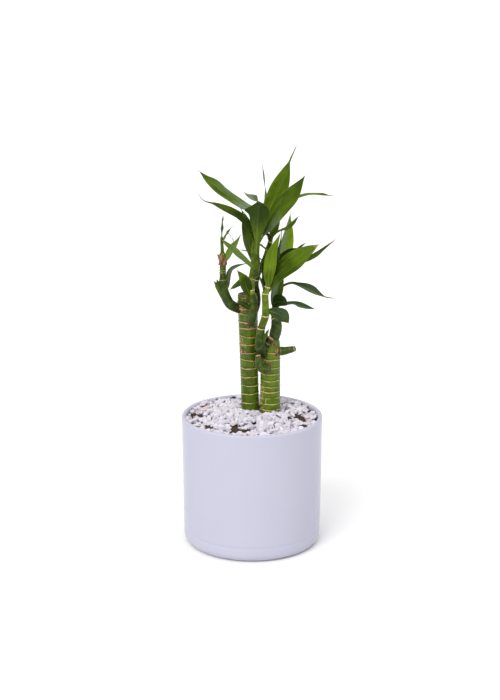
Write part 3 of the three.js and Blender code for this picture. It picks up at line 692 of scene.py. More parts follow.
def ring_scars(rings, seed, angles, heights):
    """Relief, tan, and painted shade in the groove just above, of leaf-scar rings over heights (down) and
    angles (across).
    """
    numbers = seeded_numbers(seed)
    circle = circle_at(angles)
    relief = np.zeros((len(heights), len(angles)))
    tan = relief.copy()
    above = relief.copy()
    for k, ring in enumerate(rings):
        slant = RING_SLANT * next(numbers)
        phase = 2 * math.pi * next(numbers)
        spot = circle + 7 * k
        level = ring + slant * np.cos(angles - phase)
        level = level + 0.45 * grain(spot, 0.6, seed) + 0.16 * grain(spot, 0.16, seed + 1)
        off = heights[:, None] - level
        weight = 0.76 + 0.42 * grain(spot, 0.45, seed + 2)
        line = hump(off, 0.46 + 0.2 * grain(spot, 0.3, seed + 3))
        relief += RING_RISE * weight * line - RING_DIP * hump(off - 1.3, 0.6)
        tan = np.maximum(tan, np.clip(1.25 * weight * line, 0, 1))
        # Short drips of scar tissue hang under the line
        drip = smooth(grain(spot, 0.09, seed + 4), 0.5, 0.8)
        reach = 0.8 + 1.2 * np.abs(grain(spot, 0.2, seed + 5))
        tan = np.maximum(tan, 0.7 * drip * smooth(off, -reach, -reach + 0.5) * smooth(off, 0.3, 0))
        # Painted shade along the shallow groove just above the line
        above = np.maximum(above, hump(off - 1.15, 0.55))
    return relief, tan, above


def knot_reach(knot, angles, radius, height):
    """How far places on a stem lie from a knot's middle, as a share of its half sizes."""
    degrees, level, half_width, half_height = knot
    return np.hypot(angle_from(angles, degrees) * radius / half_width, (height - level) / half_height)


def make_cane(name, settings):
    """A cut cane, with its ring scars, knots of scar tissue and dry rootlets."""
    spec = CANES[name]
    levels, radii = zip(*spec["radii"])
    top = levels[-1]
    heights = np.concatenate([
        np.linspace(levels[0], FINE_FROM, 12, endpoint=False),
        np.arange(FINE_FROM, top - CUT_ROUND, FINE_STEP),
        np.linspace(top - CUT_ROUND, top, 7),
    ])
    angles = full_turn(CANE_SIDES)
    around, up = np.meshgrid(angles, heights)
    radius = soft_interp(up, levels, radii, 1)
    relief, tan, above = ring_scars(spec["rings"], spec["seed"], angles, heights)
    skin = np.stack([np.cos(around) * radius, np.sin(around) * radius, up * 0.12], -1)
    brown = np.zeros_like(tan)
    for knot in spec["knots"]:
        off = knot_reach(knot, around, radius, up)
        lump = smooth(off + 0.35 * grain(skin * (1, 1, 8), 1.6, 31), 1.15, 0.55)
        relief += lump * (0.55 + 0.35 * grain(skin * (1, 1, 8), 0.9, 32))
        brown = np.maximum(brown, lump)
    for k, (degrees, low, high) in enumerate(spec["rootlets"]):
        wander = 0.07 * grain(np.stack([up, up * 0 + 9 * k], -1), 1.8, 33)
        off = angle_from(around, degrees) + wander
        line = 0.8 * hump(off * radius, 0.45) * smooth(up, low - 0.6, low) * smooth(up, high + 0.6, high)
        relief += 0.3 * line
        tan = np.maximum(tan, 0.9 * line)
    relief += 0.03 * grain(skin, 1.3, 34) + 0.22 * grain(skin, 7, 35)
    reach = radius + settings.relief * relief * smooth(top - up, CUT_ROUND, 4)
    x, y = cane_axis(spec, up)
    rows = np.stack([x + reach * np.cos(around), y + reach * np.sin(around), up], -1)
    rows, layers = cut_end(rows, (tan, above, brown, np.zeros_like(tan)), 0.5, 0.88)
    add_cane_piece(name + "_bark", rows, layers, spec["tone"], settings, [name])


def add_cane_piece(name, rows, layers, tone, settings, nodes=()):
    """Adds a body of rings in the canes' skin."""
    points, faces = round_body(rows)
    shades = {layer: round_shade(values) for layer, values in zip(CANE_LAYERS, layers)}
    shades["tone"] = np.full(len(points), tone)
    finish = bpy.data.materials.get("cane_skin") or cane_finish(settings)
    add_piece(name, points, faces, finish, nodes, shades)


def cut_end(rows, layers, hollow, pale_from=0.8, wood=1.0):
    """Closes the last ring with a cut face that sinks by hollow, pale outside a share of its radius."""
    middle = rows[-1].mean(0)
    way = unit(middle - rows[-3].mean(0))
    steps = [(0.93, -0.12), (0.85, 0.1)] + [(scale, hollow) for scale in (0.78, 0.6, 0.4, 0.15)]
    rings = []
    for scale, sink in steps:
        ring = middle + (rows[-1] - middle) * scale - way * sink
        rings.append(ring + 0.12 * grain(ring, 1.2, 40)[:, None] * way)
    ones = np.ones((len(steps), rows.shape[1]))
    callus = np.array(steps)[:, :1] * ones > pale_from
    added = (callus * 0.9, ones * 0, ones * 0.2, ~callus * wood)
    return np.concatenate([rows, np.array(rings)]), [np.concatenate(pair) for pair in zip(layers, added)]


def cane_finish(settings):
    """Waxy green skin with tan scar lines, painted shade in the groove above each, brown scar tissue and a
    dry cut top.
    """
    finish = Finish("cane_skin", Specular_IOR_Level=0.25)
    share = finish.sway(finish.shade("tone"), finish.noise(7, 3, (1, 1, 0.9)), 0.1)
    share = finish.sway(share, finish.noise(1.1, 2, (1, 1, 12)), 0.04)
    green = finish.blend(finish.ease(share, 0.0, 1.0), settings.deep, settings.bright)
    # Painted shade in the groove above each ring
    green = finish.blend(finish.times(finish.shade("above"), 0.35), green, settings.deep)
    old = finish.ease(finish.noise(9, 3), 0.62, 0.85, 0.0, 0.3)
    green = finish.blend(old, green, settings.weathered)
    patchy = finish.ease(finish.noise(0.8, 4), 0.25, 0.6)
    low = finish.ease(finish.height(), 205 * MM, 150 * MM)
    scar = finish.blend(low, settings.scar, settings.scar_light)
    rust = finish.ease(finish.noise(2.2, 3), 0.55, 0.7, 0.0, 0.7)
    scar = finish.blend(rust, scar, settings.rust)
    line = finish.times(finish.shade("tan"), finish.ease(patchy, 0, 1, 0.75, 1.15))
    line = finish.ease(line, 0.3, 0.62)
    knot = finish.plus(finish.shade("brown"), finish.ease(patchy, 0, 1, -0.25, 0.1))
    knot = finish.ease(knot, 0.35, 0.75)
    dots = finish.ease(finish.noise(1.1, 4), 0.46, 0.62)
    tint = finish.blend(knot, green, finish.blend(dots, settings.knot, settings.scar))
    tint = finish.blend(line, tint, scar)
    wood = finish.blend(finish.noise(1.0, 5), settings.cut, settings.cut_deep)
    finish.colour(finish.blend(finish.ease(finish.shade("cut"), 0.3, 0.7), tint, wood))
    rough = finish.ease(finish.noise(3, 3), 0.3, 0.7, 0.22, 0.32)
    dull = finish.count("MAXIMUM", finish.count("MAXIMUM", line, knot), finish.shade("cut"))
    finish.gloss(finish.plus(rough, finish.times(dull, 0.35)))
    finish.relief(finish.noise(0.8, 2, (1, 1, 8)), 0.05, 0.4)
    finish.relief(finish.times(dull, finish.noise(0.5, 3)), 0.35, 0.7)
    return finish.material


# Round stems along curves

def stem_rows(path, step, sides):
    """Rings along points (x, y, z, radius): middles, ways out, run along the stem, radii and angles."""
    path = np.array(path, float)
    length = run_along(spline(path[:, :3], np.linspace(0, 1, 400)))[-1]
    places = np.linspace(0, 1, max(8, round(length / step)))
    centres = spline(path[:, :3], places)
    along = directions(centres)
    across = unit(np.cross([0, 1, 0], along))
    away = np.cross(along, across)
    radius = soft_interp(places * (len(path) - 1), np.arange(len(path)), path[:, 3], 0.12)
    angles = full_turn(sides)
    out = across[:, None] * np.cos(angles)[:, None] + away[:, None] * np.sin(angles)[:, None]
    return centres, out, run_along(centres), radius, angles


# Old stubs of side shoots on the short cane: path as (x, y, z, radius), rings by distance along
# it, cap as (share of the radius outside which the cut face is pale, how woody it is inside
# that), and dots as the strength of scattered specks
STUBS = {
    "stub_hook": {
        "path": [
            (16.4, 8, 178.5, 4.2), (11.6, 0.8, 178, 4.9), (8.2, -2, 181.6, 4.9), (6.8, -2.8, 186.8, 4.1),
            (5.8, -2.4, 192.3, 2.4),
        ],
        "rings": [],
        "cap": (0.0, 0.0),
        "dots": 0.45,
        "tone": 0.3,
    },
    "stub_top": {
        "path": [(10.4, 6, 195.5, 3.6), (14.2, 3.5, 202, 3.5), (18.8, 3, 208.3, 3)],
        "rings": [5, 10],
        "cap": (0.3, 0.6),
        "dots": 0,
        "tone": 0.1,
    },
    "stub_right": {
        "path": [(24, 10, 192.6, 4.6), (34.2, 6, 194.9, 3.8), (42.3, 3.5, 197.6, 2.7)],
        "rings": [6],
        "cap": (0.86, 0.0),
        "dots": 0,
        "tone": 0.34,
    },
}
STUB_STEP = 0.45
STUB_SIDES = 64


def make_stub(name, settings):
    """An old cut or dried stub, in the skin of its cane."""
    spec = STUBS[name]
    centres, out, run, radius, angles = stem_rows(spec["path"], STUB_STEP, STUB_SIDES)
    circle = circle_at(angles)
    skin = centres[:, None] + out * radius[:, None, None]
    relief = 0.22 * grain(skin, 2.2, 51) + 0.08 * grain(skin, 0.9, 52)
    none = np.zeros_like(relief)
    tan = none
    for k, ring in enumerate(spec["rings"]):
        level = ring + 0.5 * grain(circle + 5 * k, 0.5, 53)
        line = hump(run[:, None] - level, 0.5)
        relief += 0.25 * line
        tan = np.maximum(tan, 0.55 * line)
    dots = spec["dots"] * smooth(grain(skin, 0.9, 55), 0.4, 0.6)
    tan = np.maximum(np.maximum(tan, hump(run[:, None] - run[-1], 0.5)), dots)
    brown = smooth(run[:, None] + 1.2 * grain(skin, 2, 54), 4.5, 2.5)
    rows = centres[:, None] + out * (radius[:, None] + relief * settings.relief)[..., None]
    rows, layers = cut_end(rows, (tan, none, brown, none), 0.35, *spec["cap"])
    add_cane_piece(name, rows, layers, spec["tone"], settings)


# The shoots: path as (x, y, z, radius), leaf-scar rings by height with the strength of their
# scars, sheath edges as (lowest height, highest height, side in degrees where the edge is lowest),
# knots as on the canes, brown as (all brown below, none above), tone and grey bloom with painted
# sheen by height, and stub as the path of a dead sheath beside the stem
SHOOTS = {
    "shoot_left": {
        "path": [
            (-12, 18.5, 234, 4.6), (-21.3, 17, 239, 4.6), (-25.3, 16, 246, 4.5), (-28, 15, 253.5, 4.6),
            (-29, 15, 260, 4.8), (-28.7, 15, 264, 3.4), (-28.7, 15, 272, 3), (-28.6, 15, 280, 3.2),
            (-28.8, 15, 289, 4), (-29, 15, 292, 1.8), (-29.7, 15, 308, 1.4),
        ],
        "stub": [(-28, 15, 247, 3), (-32, 14.5, 255, 3), (-35.2, 14, 262, 1.5)],
        "rings": [264.5, 271.8, 274],
        "scars": 0.62,
        "sheaths": [(252, 262, -150), (240, 252, -60)],
        "knots": [(-75, 282.5, 2.6, 3), (-100, 302, 1.6, 1.6)],
        "brown": (231, 239),
        "tone": [(234, 0.06), (250, 0.2), (262, 0.24), (266, 0.24), (276, 0.34), (308, 0.28)],
        "bloom_and_sheen": [(234, 0.0), (240, 0.15), (256, 0.1), (262, 0.0)],
    },
    "shoot_main": {
        "path": [
            (-1.6, 14.5, 221, 4), (-0.4, 9.5, 225, 4.2), (0.9, 5, 234, 4.1), (1.2, 3, 246, 4),
            (-0.1, 3, 253, 3), (-0.7, 3, 262, 2.9), (-0.5, 3, 268, 3), (1.8, 3, 274, 4.1),
            (3.1, 2.5, 285, 4), (2.9, 2, 304, 3.2), (5.2, 1, 324, 2.3), (6.6, 0.5, 333, 1.7),
        ],
        "rings": [257, 268],
        "scars": 1,
        "sheaths": [(226, 251, -80), (275, 289, -150), (286, 303, -30), (296, 312, 160)],
        "knots": [(-110, 250.8, 1.6, 2.2), (-10, 240, 1.2, 6), (-90, 221, 4, 1.6)],
        "brown": (217, 222),
        "tone": [
            (221, 0.06), (236, 0.2), (252, 0.24), (256, 0.6), (266, 0.66), (272, 0.3), (300, 0.34),
            (333, 0.42),
        ],
        "bloom_and_sheen": [(221, 0.3), (232, 0.15), (254, 0.05), (270, 0.0)],
    },
    "shoot_middle": {
        "path": [
            (2.9, 22, 230, 2.8), (5.3, 23.5, 241, 3.3), (5, 24, 249, 3), (3.9, 24, 258, 2.7),
            (5.2, 24.3, 267, 2.7), (9.4, 25, 276, 2.6), (13.2, 25.5, 284.4, 2.5), (16.1, 26, 293.8, 2.4),
            (18.5, 26, 303.8, 2.2), (19.3, 26, 312, 1.9),
        ],
        "rings": [262, 300],
        "scars": 1,
        "sheaths": [(272, 281, -90), (288, 296, -20), (236, 246, -70)],
        "knots": [(-90, 240.8, 1.2, 1.6)],
        "brown": (226, 232),
        "tone": [(230, 0.08), (260, 0.14), (285, 0.26), (312, 0.3)],
        "bloom_and_sheen": [(230, 0.1), (260, 0.0)],
    },
    "shoot_front": {
        "path": [
            (11, 9, 190, 5), (8.6, 3, 199, 5.4), (8, 0.5, 207, 4.8), (9, -1, 219, 3.7),
            (13, -3, 232.5, 3.3), (13, -4, 244.5, 3.3), (12.8, -5, 255, 3.3), (16.1, -6, 263.5, 2.8),
        ],
        "rings": [219.5, 232.5, 255.5, 262],
        "scars": 1,
        "sheaths": [(208, 218, -60), (200, 212, -140), (236, 246, -70)],
        "knots": [(-80, 239.7, 0.9, 0.9)],
        "brown": (187, 192),
        "tone": [(190, 0.06), (206, 0.16), (219, 0.3), (232, 0.34), (246, 0.44), (262, 0.46)],
        "bloom_and_sheen": [(190, 0.1), (214, 0.1), (220, 0.0)],
    },
    "shoot_rear": {
        "path": [
            (21, 14, 200, 3.9), (22.4, 14.5, 208, 4.9), (24.3, 15.3, 216, 5.5), (24, 16, 222, 4.6),
            (22.4, 16.5, 230, 3.4), (23.6, 17, 239, 3.1), (24.6, 17, 248.5, 3), (26.5, 18, 260, 2.8),
            (28, 18.5, 276, 2),
        ],
        "rings": [226, 243],
        "scars": 1,
        "sheaths": [(208, 219, -80), (214, 224, 10), (230, 241, -30), (247, 262, -100)],
        "knots": [],
        "brown": (196, 203),
        "tone": [(200, 0.1), (226, 0.16), (243, 0.2), (248, 0.4), (260, 0.42), (276, 0.34)],
        "bloom_and_sheen": [(200, 0.1), (210, 0.35), (219, 0.3), (228, 0.05)],
    },
}
SHOOT_STEP = 0.5
SHOOT_SIDES = 56
DEAD_SHEATH_SIDES = 40


def make_shoot(name, settings):
    """A jointed green stem with leaf scars, overlapping sheaths and a brown foot."""
    spec = SHOOTS[name]
    centres, out, run, radius, angles = stem_rows(spec["path"], SHOOT_STEP, SHOOT_SIDES)
    radius = (radius * smooth(run[-1] + 1.2 - run, 0, 3.5))[:, None]
    up = centres[:, 2:]
    skin = centres[:, None] + out * radius[..., None]
    circle = circle_at(angles)
    relief = 0.08 * grain(skin * (1, 1, 0.3), 1.4, 61)
    tan = np.zeros_like(relief)
    edge = np.zeros_like(relief)
    for k, ring in enumerate(spec["rings"]):
        off = up - (ring + 0.3 * grain(circle + 3 * k, 0.5, 62) + 0.4 * circle[:, 0])
        relief += 0.4 * hump(off, 0.6) - 0.12 * hump(off - 1.4, 0.8)
        line = hump(off, 0.55 + 0.2 * grain(circle + 3 * k, 0.3, 63))
        tan = np.maximum(tan, spec["scars"] * line)
    sides = np.arctan2(out[..., 1], out[..., 0])
    for low, high, degrees in spec["sheaths"]:
        turned = np.abs(angle_from(sides, degrees)) / math.pi
        under = low + (high - low) * turned**1.3 - up
        relief += 0.34 * smooth(under, -0.1, 0.5) * smooth(up, low - 14, low - 3)
        edge = np.maximum(edge, hump(under, 0.55))
    low, high = spec["brown"]
    brown = smooth(up + 2.5 * grain(skin, 3, 64), high, low)
    for knot in spec["knots"]:
        off = knot_reach(knot, sides, radius, up)
        lump = smooth(off + 0.3 * grain(skin, 1.1, 65), 1.2, 0.6)
        relief += 0.3 * lump
        brown = np.maximum(brown, lump)
    points, faces = round_body(centres[:, None] + out * (radius + relief)[..., None])
    layers = {"tan": tan, "edge": edge, "brown": brown}
    for layer in ("tone", "bloom_and_sheen"):
        layers[layer] = np.interp(up, *zip(*spec[layer])) * np.ones_like(tan)
    shades = {layer: round_shade(values) for layer, values in layers.items()}
    if "stub" in spec:
        points, faces, shades = with_stub(spec["stub"], points, faces, shades)
    finish = bpy.data.materials.get("shoot_skin") or shoot_finish(settings)
    add_piece(name + "_stem", points, faces, finish, [name], shades)


def with_stub(path, points, faces, shades):
    """Adds a torn stub of dead sheath to a shoot's own points."""
    centres, out, run, radius, angles = stem_rows(path, SHOOT_STEP, DEAD_SHEATH_SIDES)
    end = run[-1]
    flare = 1 + 0.35 * smooth(run, end * 0.55, end * 0.8)
    jag = 3.2 * grain(circle_at(angles), 0.5, 71)
    slide = smooth(run, end * 0.6, end)[:, None] * jag
    rows = centres[:, None] + out * (radius * flare)[:, None, None]
    rows += directions(centres)[:, None] * slide[..., None]
    more, cells = round_body(rows)
    start = len(points)
    faces = faces + [tuple(corner + start for corner in cell) for cell in cells]
    tips = round_shade(smooth(run, end * 0.75, end)[:, None] * np.ones(rows.shape[:2]))
    none = np.zeros_like(tips)
    added = {"tan": tips * 0.3, "edge": none, "brown": tips * 0.2, "tone": none + 0.34, "bloom_and_sheen": none}
    shades = {layer: np.concatenate([values, added[layer]]) for layer, values in shades.items()}
    return np.vstack([points, more]), faces, shades


def shoot_finish(settings):
    """Smooth young skin, paler towards the light, with tan scars, sheath edges and a brown foot."""
    finish = Finish("shoot_skin", Specular_IOR_Level=0.14)
    fibre = finish.noise(0.8, 3, (1, 1, 12))
    share = finish.sway(finish.shade("tone"), fibre, 0.06)
    share = finish.sway(share, finish.noise(7, 3), 0.1)
    green = finish.blend(finish.ease(share, 0.0, 1.0), settings.deep, settings.bright)
    # Grey bloom with painted sheen, by height
    green = finish.blend(finish.shade("bloom_and_sheen"), green, settings.bloom_and_sheen)
    green = finish.blend(finish.times(finish.shade("edge"), 0.1), green, settings.sheath_edge)
    scar = finish.blend(finish.noise(1.2, 3), settings.scar, settings.scar_light)
    line = finish.ease(finish.shade("tan"), 0.35, 0.7)
    foot = finish.plus(finish.shade("brown"), finish.ease(finish.noise(1.2, 4), 0.3, 0.7, -0.3, 0.1))
    foot = finish.ease(foot, 0.3, 0.8)
    tint = finish.blend(finish.times(foot, 0.85), green, settings.foot)
    finish.colour(finish.blend(line, tint, scar))
    rough = finish.ease(finish.noise(4, 3), 0.3, 0.7, 0.24, 0.36)
    dull = finish.times(finish.count("MAXIMUM", line, foot), 0.35)
    finish.gloss(finish.plus(rough, dull))
    finish.relief(fibre, 0.06, 0.4)
    finish.relief(finish.times(line, finish.noise(0.5, 3)), 0.3, 0.6)
    return finish.material


# The leaves: each blade follows its rib, and its upper side looks towards face, twisted by turn in
# degrees at base and tip. It is width wide at widest, a share of its length. A larger shoulder
# keeps it narrow for longer below that, a larger taper makes it slimmer above, and tail is the
# share that is a thin end. Its halves fold up by fold in degrees, skew widens one half and narrows
# the other, and lobes (edge, place, reach, amount) push one edge out or in. Tone runs from 0, deep
# green, to 1, bright green. Marks (kind, half of the blade or 0 for both, start, end, strength) are
# grey bloom with painted sheen, lighter, deeper or dry stretches; the lighter stretch of
# leaf_rear_pale is a painted glare and the deeper one of leaf_front_crossing is painted shade.
# Places go from 0 at the base to 1 at the tip
LEAVES = {
    "leaf_main_high_left": {
        "rib": [
            (4.5, 1.5, 312), (5.7, 2, 322), (4.2, 3, 330.8), (-0.1, 5, 335.3), (-6.9, 7.5, 338),
            (-13.6, 9, 341.7), (-21.3, 11, 346.5), (-29, 12.5, 351.6), (-36.7, 14, 358.3),
            (-44.4, 15.5, 364.4), (-51.8, 16, 372.3),
        ],
        "width": 12, "widest": 0.72, "shoulder": 1.5, "face": (0.3, -0.75, 0.6), "tone": 0.32,
        "marks": [("bloom_and_sheen", 0, -1, 0.46, 0.85), ("bloom_and_sheen", 1, 0.3, 0.8, 0.2)],
    },
    "leaf_main_low_left": {
        "rib": [
            (2.9, 2, 290), (2.2, 0.3, 298), (1.2, -1.5, 306), (-2.2, -4.5, 316.5), (-7, -8.5, 324.9),
            (-13.4, -13, 331.7), (-21, -17, 337.1), (-28.5, -19, 341.3), (-37, -20.5, 345.8),
            (-45.4, -21, 348.6), (-51.5, -21, 355.7),
        ],
        "width": 11.5, "widest": 0.55, "taper": 1.1, "tail": 0.14,
        "face": (0.1, -0.7, 0.75), "turn": (60, 10), "fold": 30, "tone": 0.26,
        "marks": [("deep", 0, 0.3, 0.6, 0.1), ("bloom_and_sheen", 0, 0.88, 2, 0.8)],
    },
    "leaf_main_front": {
        "rib": [
            (4.2, -0.5, 292), (4.4, -5.2, 301), (4.7, -8, 308.5), (4.8, -11.3, 318.3), (5.1, -15.5, 328),
            (6, -21.5, 338.1), (6.4, -29, 346.6), (4.4, -34.5, 351.8), (0.2, -37, 354.8),
            (-4.2, -38, 357), (-8.3, -38.5, 360.3),
        ],
        "width": 20.5, "widest": 0.54, "shoulder": 4, "taper": 1.2, "skew": -0.2,
        "lobes": [(1, 0.59, 0.05, 5.5), (1, 0.72, 0.07, -3), (-1, 0.72, 0.1, -4.5)],
        "face": (0, 0.5, 0.85), "turn": (0, -110), "fold": 18, "tone": 0.1,
        "marks": [("light", 0, -1, 0.4, 0.32), ("deep", 0, 0.5, 0.8, 0.06), ("bloom_and_sheen", 0, 0.84, 2, 0.9)],
    },
    "leaf_main_tallest": {
        "rib": [
            (5.8, 2, 318), (10, 6.4, 325), (16.5, 8, 336), (24, 10.5, 351), (30, 11, 365.5),
            (36, 12, 381.5), (42.5, 12, 396.5),
        ],
        "width": 18, "widest": 0.46, "taper": 1.2, "tail": 0.16,
        "face": (0.1, -1, 0.3), "fold": 10, "tone": 0.36,
    },
    "leaf_main_right": {
        "rib": [
            (4.8, 1.5, 300), (10, 1.2, 309), (14.2, -1.2, 317), (19.5, -4.5, 327), (28.5, -8, 341),
            (39, -11, 354), (50.5, -12, 372),
        ],
        "width": 17.5, "widest": 0.66, "face": (-0.2, -1, 0.3), "turn": (-95, 0), "fold": 16, "tone": 0.2,
        "marks": [("light", -1, 0.3, 0.9, 0.12), ("light", 1, 0.4, 0.9, 0.14), ("bloom_and_sheen", 1, -1, 0.45, 0.36)],
    },
    "leaf_main_back": {
        "rib": [
            (6.4, 1.5, 330), (6.6, 6.5, 332.5), (9, 11, 336), (12.5, 13.5, 342), (12.9, 18, 350),
            (11.6, 21, 362), (9.8, 22, 377),
        ],
        "tail": 0.3, "width": 3.4, "face": (0.8, -0.6, 0.2), "tone": 0.3,
        "marks": [("bloom_and_sheen", 0, 0.2, 2, 0.6)],
    },
    "leaf_main_far_right": {
        "rib": [
            (4.2, 3, 313), (6.5, 10, 320), (18, 15, 329), (34, 21, 340), (52, 26, 346.5), (67, 30, 346),
            (81, 33, 344),
        ],
        "width": 5.6, "widest": 0.86, "shoulder": 9, "taper": 1, "tail": 0.06,
        "face": (0, -0.35, 1), "tone": 0.3,
        "marks": [("bloom_and_sheen", 0, -1, 0.6, 0.7), ("dry", 0, 0.95, 2, 0.4), ("light", 0, 0.7, 0.9, 0.15)],
    },
    "leaf_main_dark_left": {
        "rib": [(1.5, 4, 282), (-2.5, 8, 298), (-6.5, 10, 315), (-8.5, 11, 327), (-10.5, 12, 336)],
        "width": 10, "face": (0.3, -1, 0.2), "tone": 0.26,
        "marks": [("bloom_and_sheen", -1, -1, 0.6, 0.2)],
    },
    "leaf_main_thin_left": {
        "rib": [
            (3.2, 2.2, 298), (1.6, 4, 311), (-0.6, 4, 320.2), (-4.4, 3.5, 327.2), (-8.5, 3, 333.6),
            (-12.8, 2.5, 339.2),
        ],
        "width": 3.6, "widest": 0.35, "face": (0.2, -1, 0.3), "tone": 0.14,
        "marks": [("deep", 0, -1, 0.3, 0.14), ("bloom_and_sheen", 0, 0.3, 2, 0.6)],
    },
    "leaf_main_old": {
        "rib": [(5, 0.8, 302.4), (9, 4, 300.4), (14.5, 10, 294), (20.5, 13, 283)],
        "width": 6.5, "face": (0.3, -0.3, 0.9), "tone": 0.34,
        "marks": [("dry", 0, -1, 0.2, 1)],
    },
    "leaf_main_small_left": {
        "rib": [
            (-0.5, 2.5, 249.5), (-4.2, 0, 256.6), (-7.3, -3, 266.2), (-11.1, -6, 273.8),
            (-15.2, -8, 279.7),
        ],
        "width": 12.5, "widest": 0.5, "face": (0.2, -1, 0.35), "fold": 22, "tone": 0.2,
        "marks": [("light", 0, 0.7, 0.86, 0.3), ("dry", 0, 0.9, 2, 0.6)],
    },
    "leaf_main_small_back": {
        "rib": [(-1.5, 3.5, 267), (-6, 5, 265.5), (-12, 6, 262.5), (-22.5, 6, 256)],
        "width": 8, "face": (0, -0.6, 0.8), "tone": 0.22,
        "marks": [("dry", 0, 0.9, 2, 0.8)],
    },
    "bract_main": {
        "rib": [(-1, 3.5, 238), (-5, 2.5, 240.5), (-10, 3, 243), (-16.5, 5, 243.5)],
        "width": 6, "face": (0.2, -0.8, 0.5), "tone": 0.1,
        "marks": [("dry", 0, 0.93, 2, 0.7)],
    },
    "leaf_left_top": {
        "rib": [(-29.7, 15, 306), (-29.5, 15, 319), (-27.8, 15, 330)],
        "width": 5, "face": (0.9, -0.4, 0), "tone": 0.3,
        "marks": [("bloom_and_sheen", 0, 0.3, 2, 0.3)],
    },
    "leaf_left_side": {
        "rib": [(-29, 14.8, 302), (-24.9, 12, 310), (-22.2, 10, 314.3), (-18.4, 8, 319.3)],
        "width": 3.4, "face": (-0.3, -0.6, 0.7), "tone": 0.3,
        "marks": [("bloom_and_sheen", 0, -1, 0.6, 0.4)],
    },
    "leaf_left_pale": {
        "rib": [(-27, 14, 281), (-21, 10, 294), (-15.5, 7, 302.5), (-10.5, 5, 312)],
        "width": 8, "face": (-0.4, -0.8, 0.4), "tone": 0.44,
        "marks": [("bloom_and_sheen", 1, 0.1, 2, 0.35)],
    },
    "leaf_left_arch": {
        "rib": [
            (-25.6, 15.5, 252), (-24, 16, 262.9), (-23.2, 17, 269.7), (-20.7, 18, 274.2),
            (-16.8, 19, 276.5), (-11.4, 20.5, 278.1), (-6, 22.5, 278.8), (-0.6, 24.5, 278.2),
        ],
        "widest": 0.2, "width": 5.5, "face": (0.5, -0.6, 0.6), "tone": 0.16,
        "marks": [("bloom_and_sheen", 0, -1, 2, 0.4)],
    },
    "leaf_middle_left": {
        "rib": [(11.5, 26, 280), (5, 31, 284), (-3, 35, 288), (-15, 38, 290)],
        "width": 6, "face": (0, 0.2, 1), "tone": 0.2,
        "marks": [("bloom_and_sheen", 0, 0.3, 2, 0.35)],
    },
    "leaf_middle_upright": {
        "rib": [(18.8, 26, 304), (21.2, 26, 312.8), (23.2, 27, 319.5), (25.6, 28, 327), (28, 29, 334.5)],
        "width": 10, "widest": 0.35, "face": (-0.2, -1, 0.2), "tone": 0.32,
    },
    "leaf_middle_short": {
        "rib": [(17, 25, 299), (15, 20, 307), (10, 16, 315)],
        "width": 7, "face": (0.5, -0.5, 0.7), "tone": 0.12,
    },
    "leaf_middle_right": {
        "rib": [
            (19.2, 24.9, 304.5), (24.3, 21.5, 310.6), (29.2, 20, 313.2), (34, 19, 315.2),
            (39.7, 17, 320.2), (45.5, 15, 328.4),
        ],
        "width": 4, "widest": 0.7, "shoulder": 2.5, "face": (0, -0.9, 0.4), "tone": 0.3,
        "marks": [("light", 0, 0.3, 0.9, 0.15), ("dry", 0, 0.3, 0.75, 0.25), ("dry", 0, 0.94, 2, 0.8)],
    },
    "leaf_front_upright": {
        "rib": [
            (15.9, -6.2, 261.5), (16.2, -9, 274.5), (17.2, -11, 281.8), (18.3, -13, 291.1),
            (20.7, -13.5, 300.9), (24.3, -13, 309.6), (27.8, -12, 317.6),
        ],
        "width": 12.5, "shoulder": 0.9, "face": (-0.2, -1, 0.1), "tone": 0.3,
        "marks": [("light", 0, 0.3, 2, 0.2)],
    },
    "leaf_front_slim": {
        "rib": [
            (16.3, -4.4, 262), (18.4, -2.4, 268), (21.2, -1.5, 276.1), (24.1, -1, 285.6),
            (25.9, 0, 297.2), (28, 1, 308.7), (28.7, 2, 318.8),
        ],
        "width": 3.6, "face": (-0.3, -0.9, 0.2), "tone": 0.06,
        "marks": [("bloom_and_sheen", 1, 0.5, 2, 0.25)],
    },
    # Its deep mark is painted shade over the base of the blade
    "leaf_front_crossing": {
        "rib": [
            (12.6, -6, 255.5), (9.8, -8, 265.4), (6.2, -10, 274.2), (1.3, -12, 281.5), (-4, -15, 287.8),
            (-8.7, -17, 292.7), (-13.3, -19, 297.2), (-18.2, -21.5, 302.4), (-23.4, -24, 306.9),
            (-28.2, -26, 312),
        ],
        "width": 6.6, "widest": 0.7, "shoulder": 5, "taper": 0.5, "face": (0.2, -0.8, 0.5), "tone": 0.36,
        "marks": [("deep", 0, -1, 0.36, 0.6), ("light", 0, 0.4, 2, 0.08), ("bloom_and_sheen", 0, 0.45, 2, 0.22)],
    },
    "leaf_front_inner": {
        "rib": [(12, -3.5, 252.5), (11, 0, 262), (10.5, 2.5, 273), (9.5, 4, 285)],
        "width": 6, "face": (0.7, -0.7, 0), "tone": 0.0,
    },
    "leaf_front_broad": {
        "rib": [
            (15.6, -5, 258), (19, -6, 265), (24, -8.5, 273), (33, -13, 283), (44, -16, 292),
            (53.5, -18, 299.5), (63.5, -19, 306.5),
        ],
        "taper": 1.0, "width": 21, "widest": 0.55, "face": (-0.3, -0.8, 0.5), "fold": 12, "tone": 0.22,
        "marks": [("light", 0, 0.6, 2, 0.2), ("dry", 0, 0.97, 2, 1)],
    },
    "leaf_front_low": {
        "rib": [(14.5, -3, 237.5), (20, -3.5, 236.5), (26, -5.5, 234.5), (32, -9, 231), (36, -11, 226.5)],
        "width": 15, "widest": 0.6, "face": (0.2, -0.9, 0.4), "tone": 0.12,
        "marks": [("bloom_and_sheen", 0, 0.1, 0.9, 0.1), ("dry", 0, 0.97, 2, 1)],
    },
    "leaf_rear_dry": {
        "rib": [
            (28.4, 18, 273), (36, 15.5, 277.5), (45, 12, 281), (60, 8, 289), (72, 6, 299),
            (81.5, 4, 307.5),
        ],
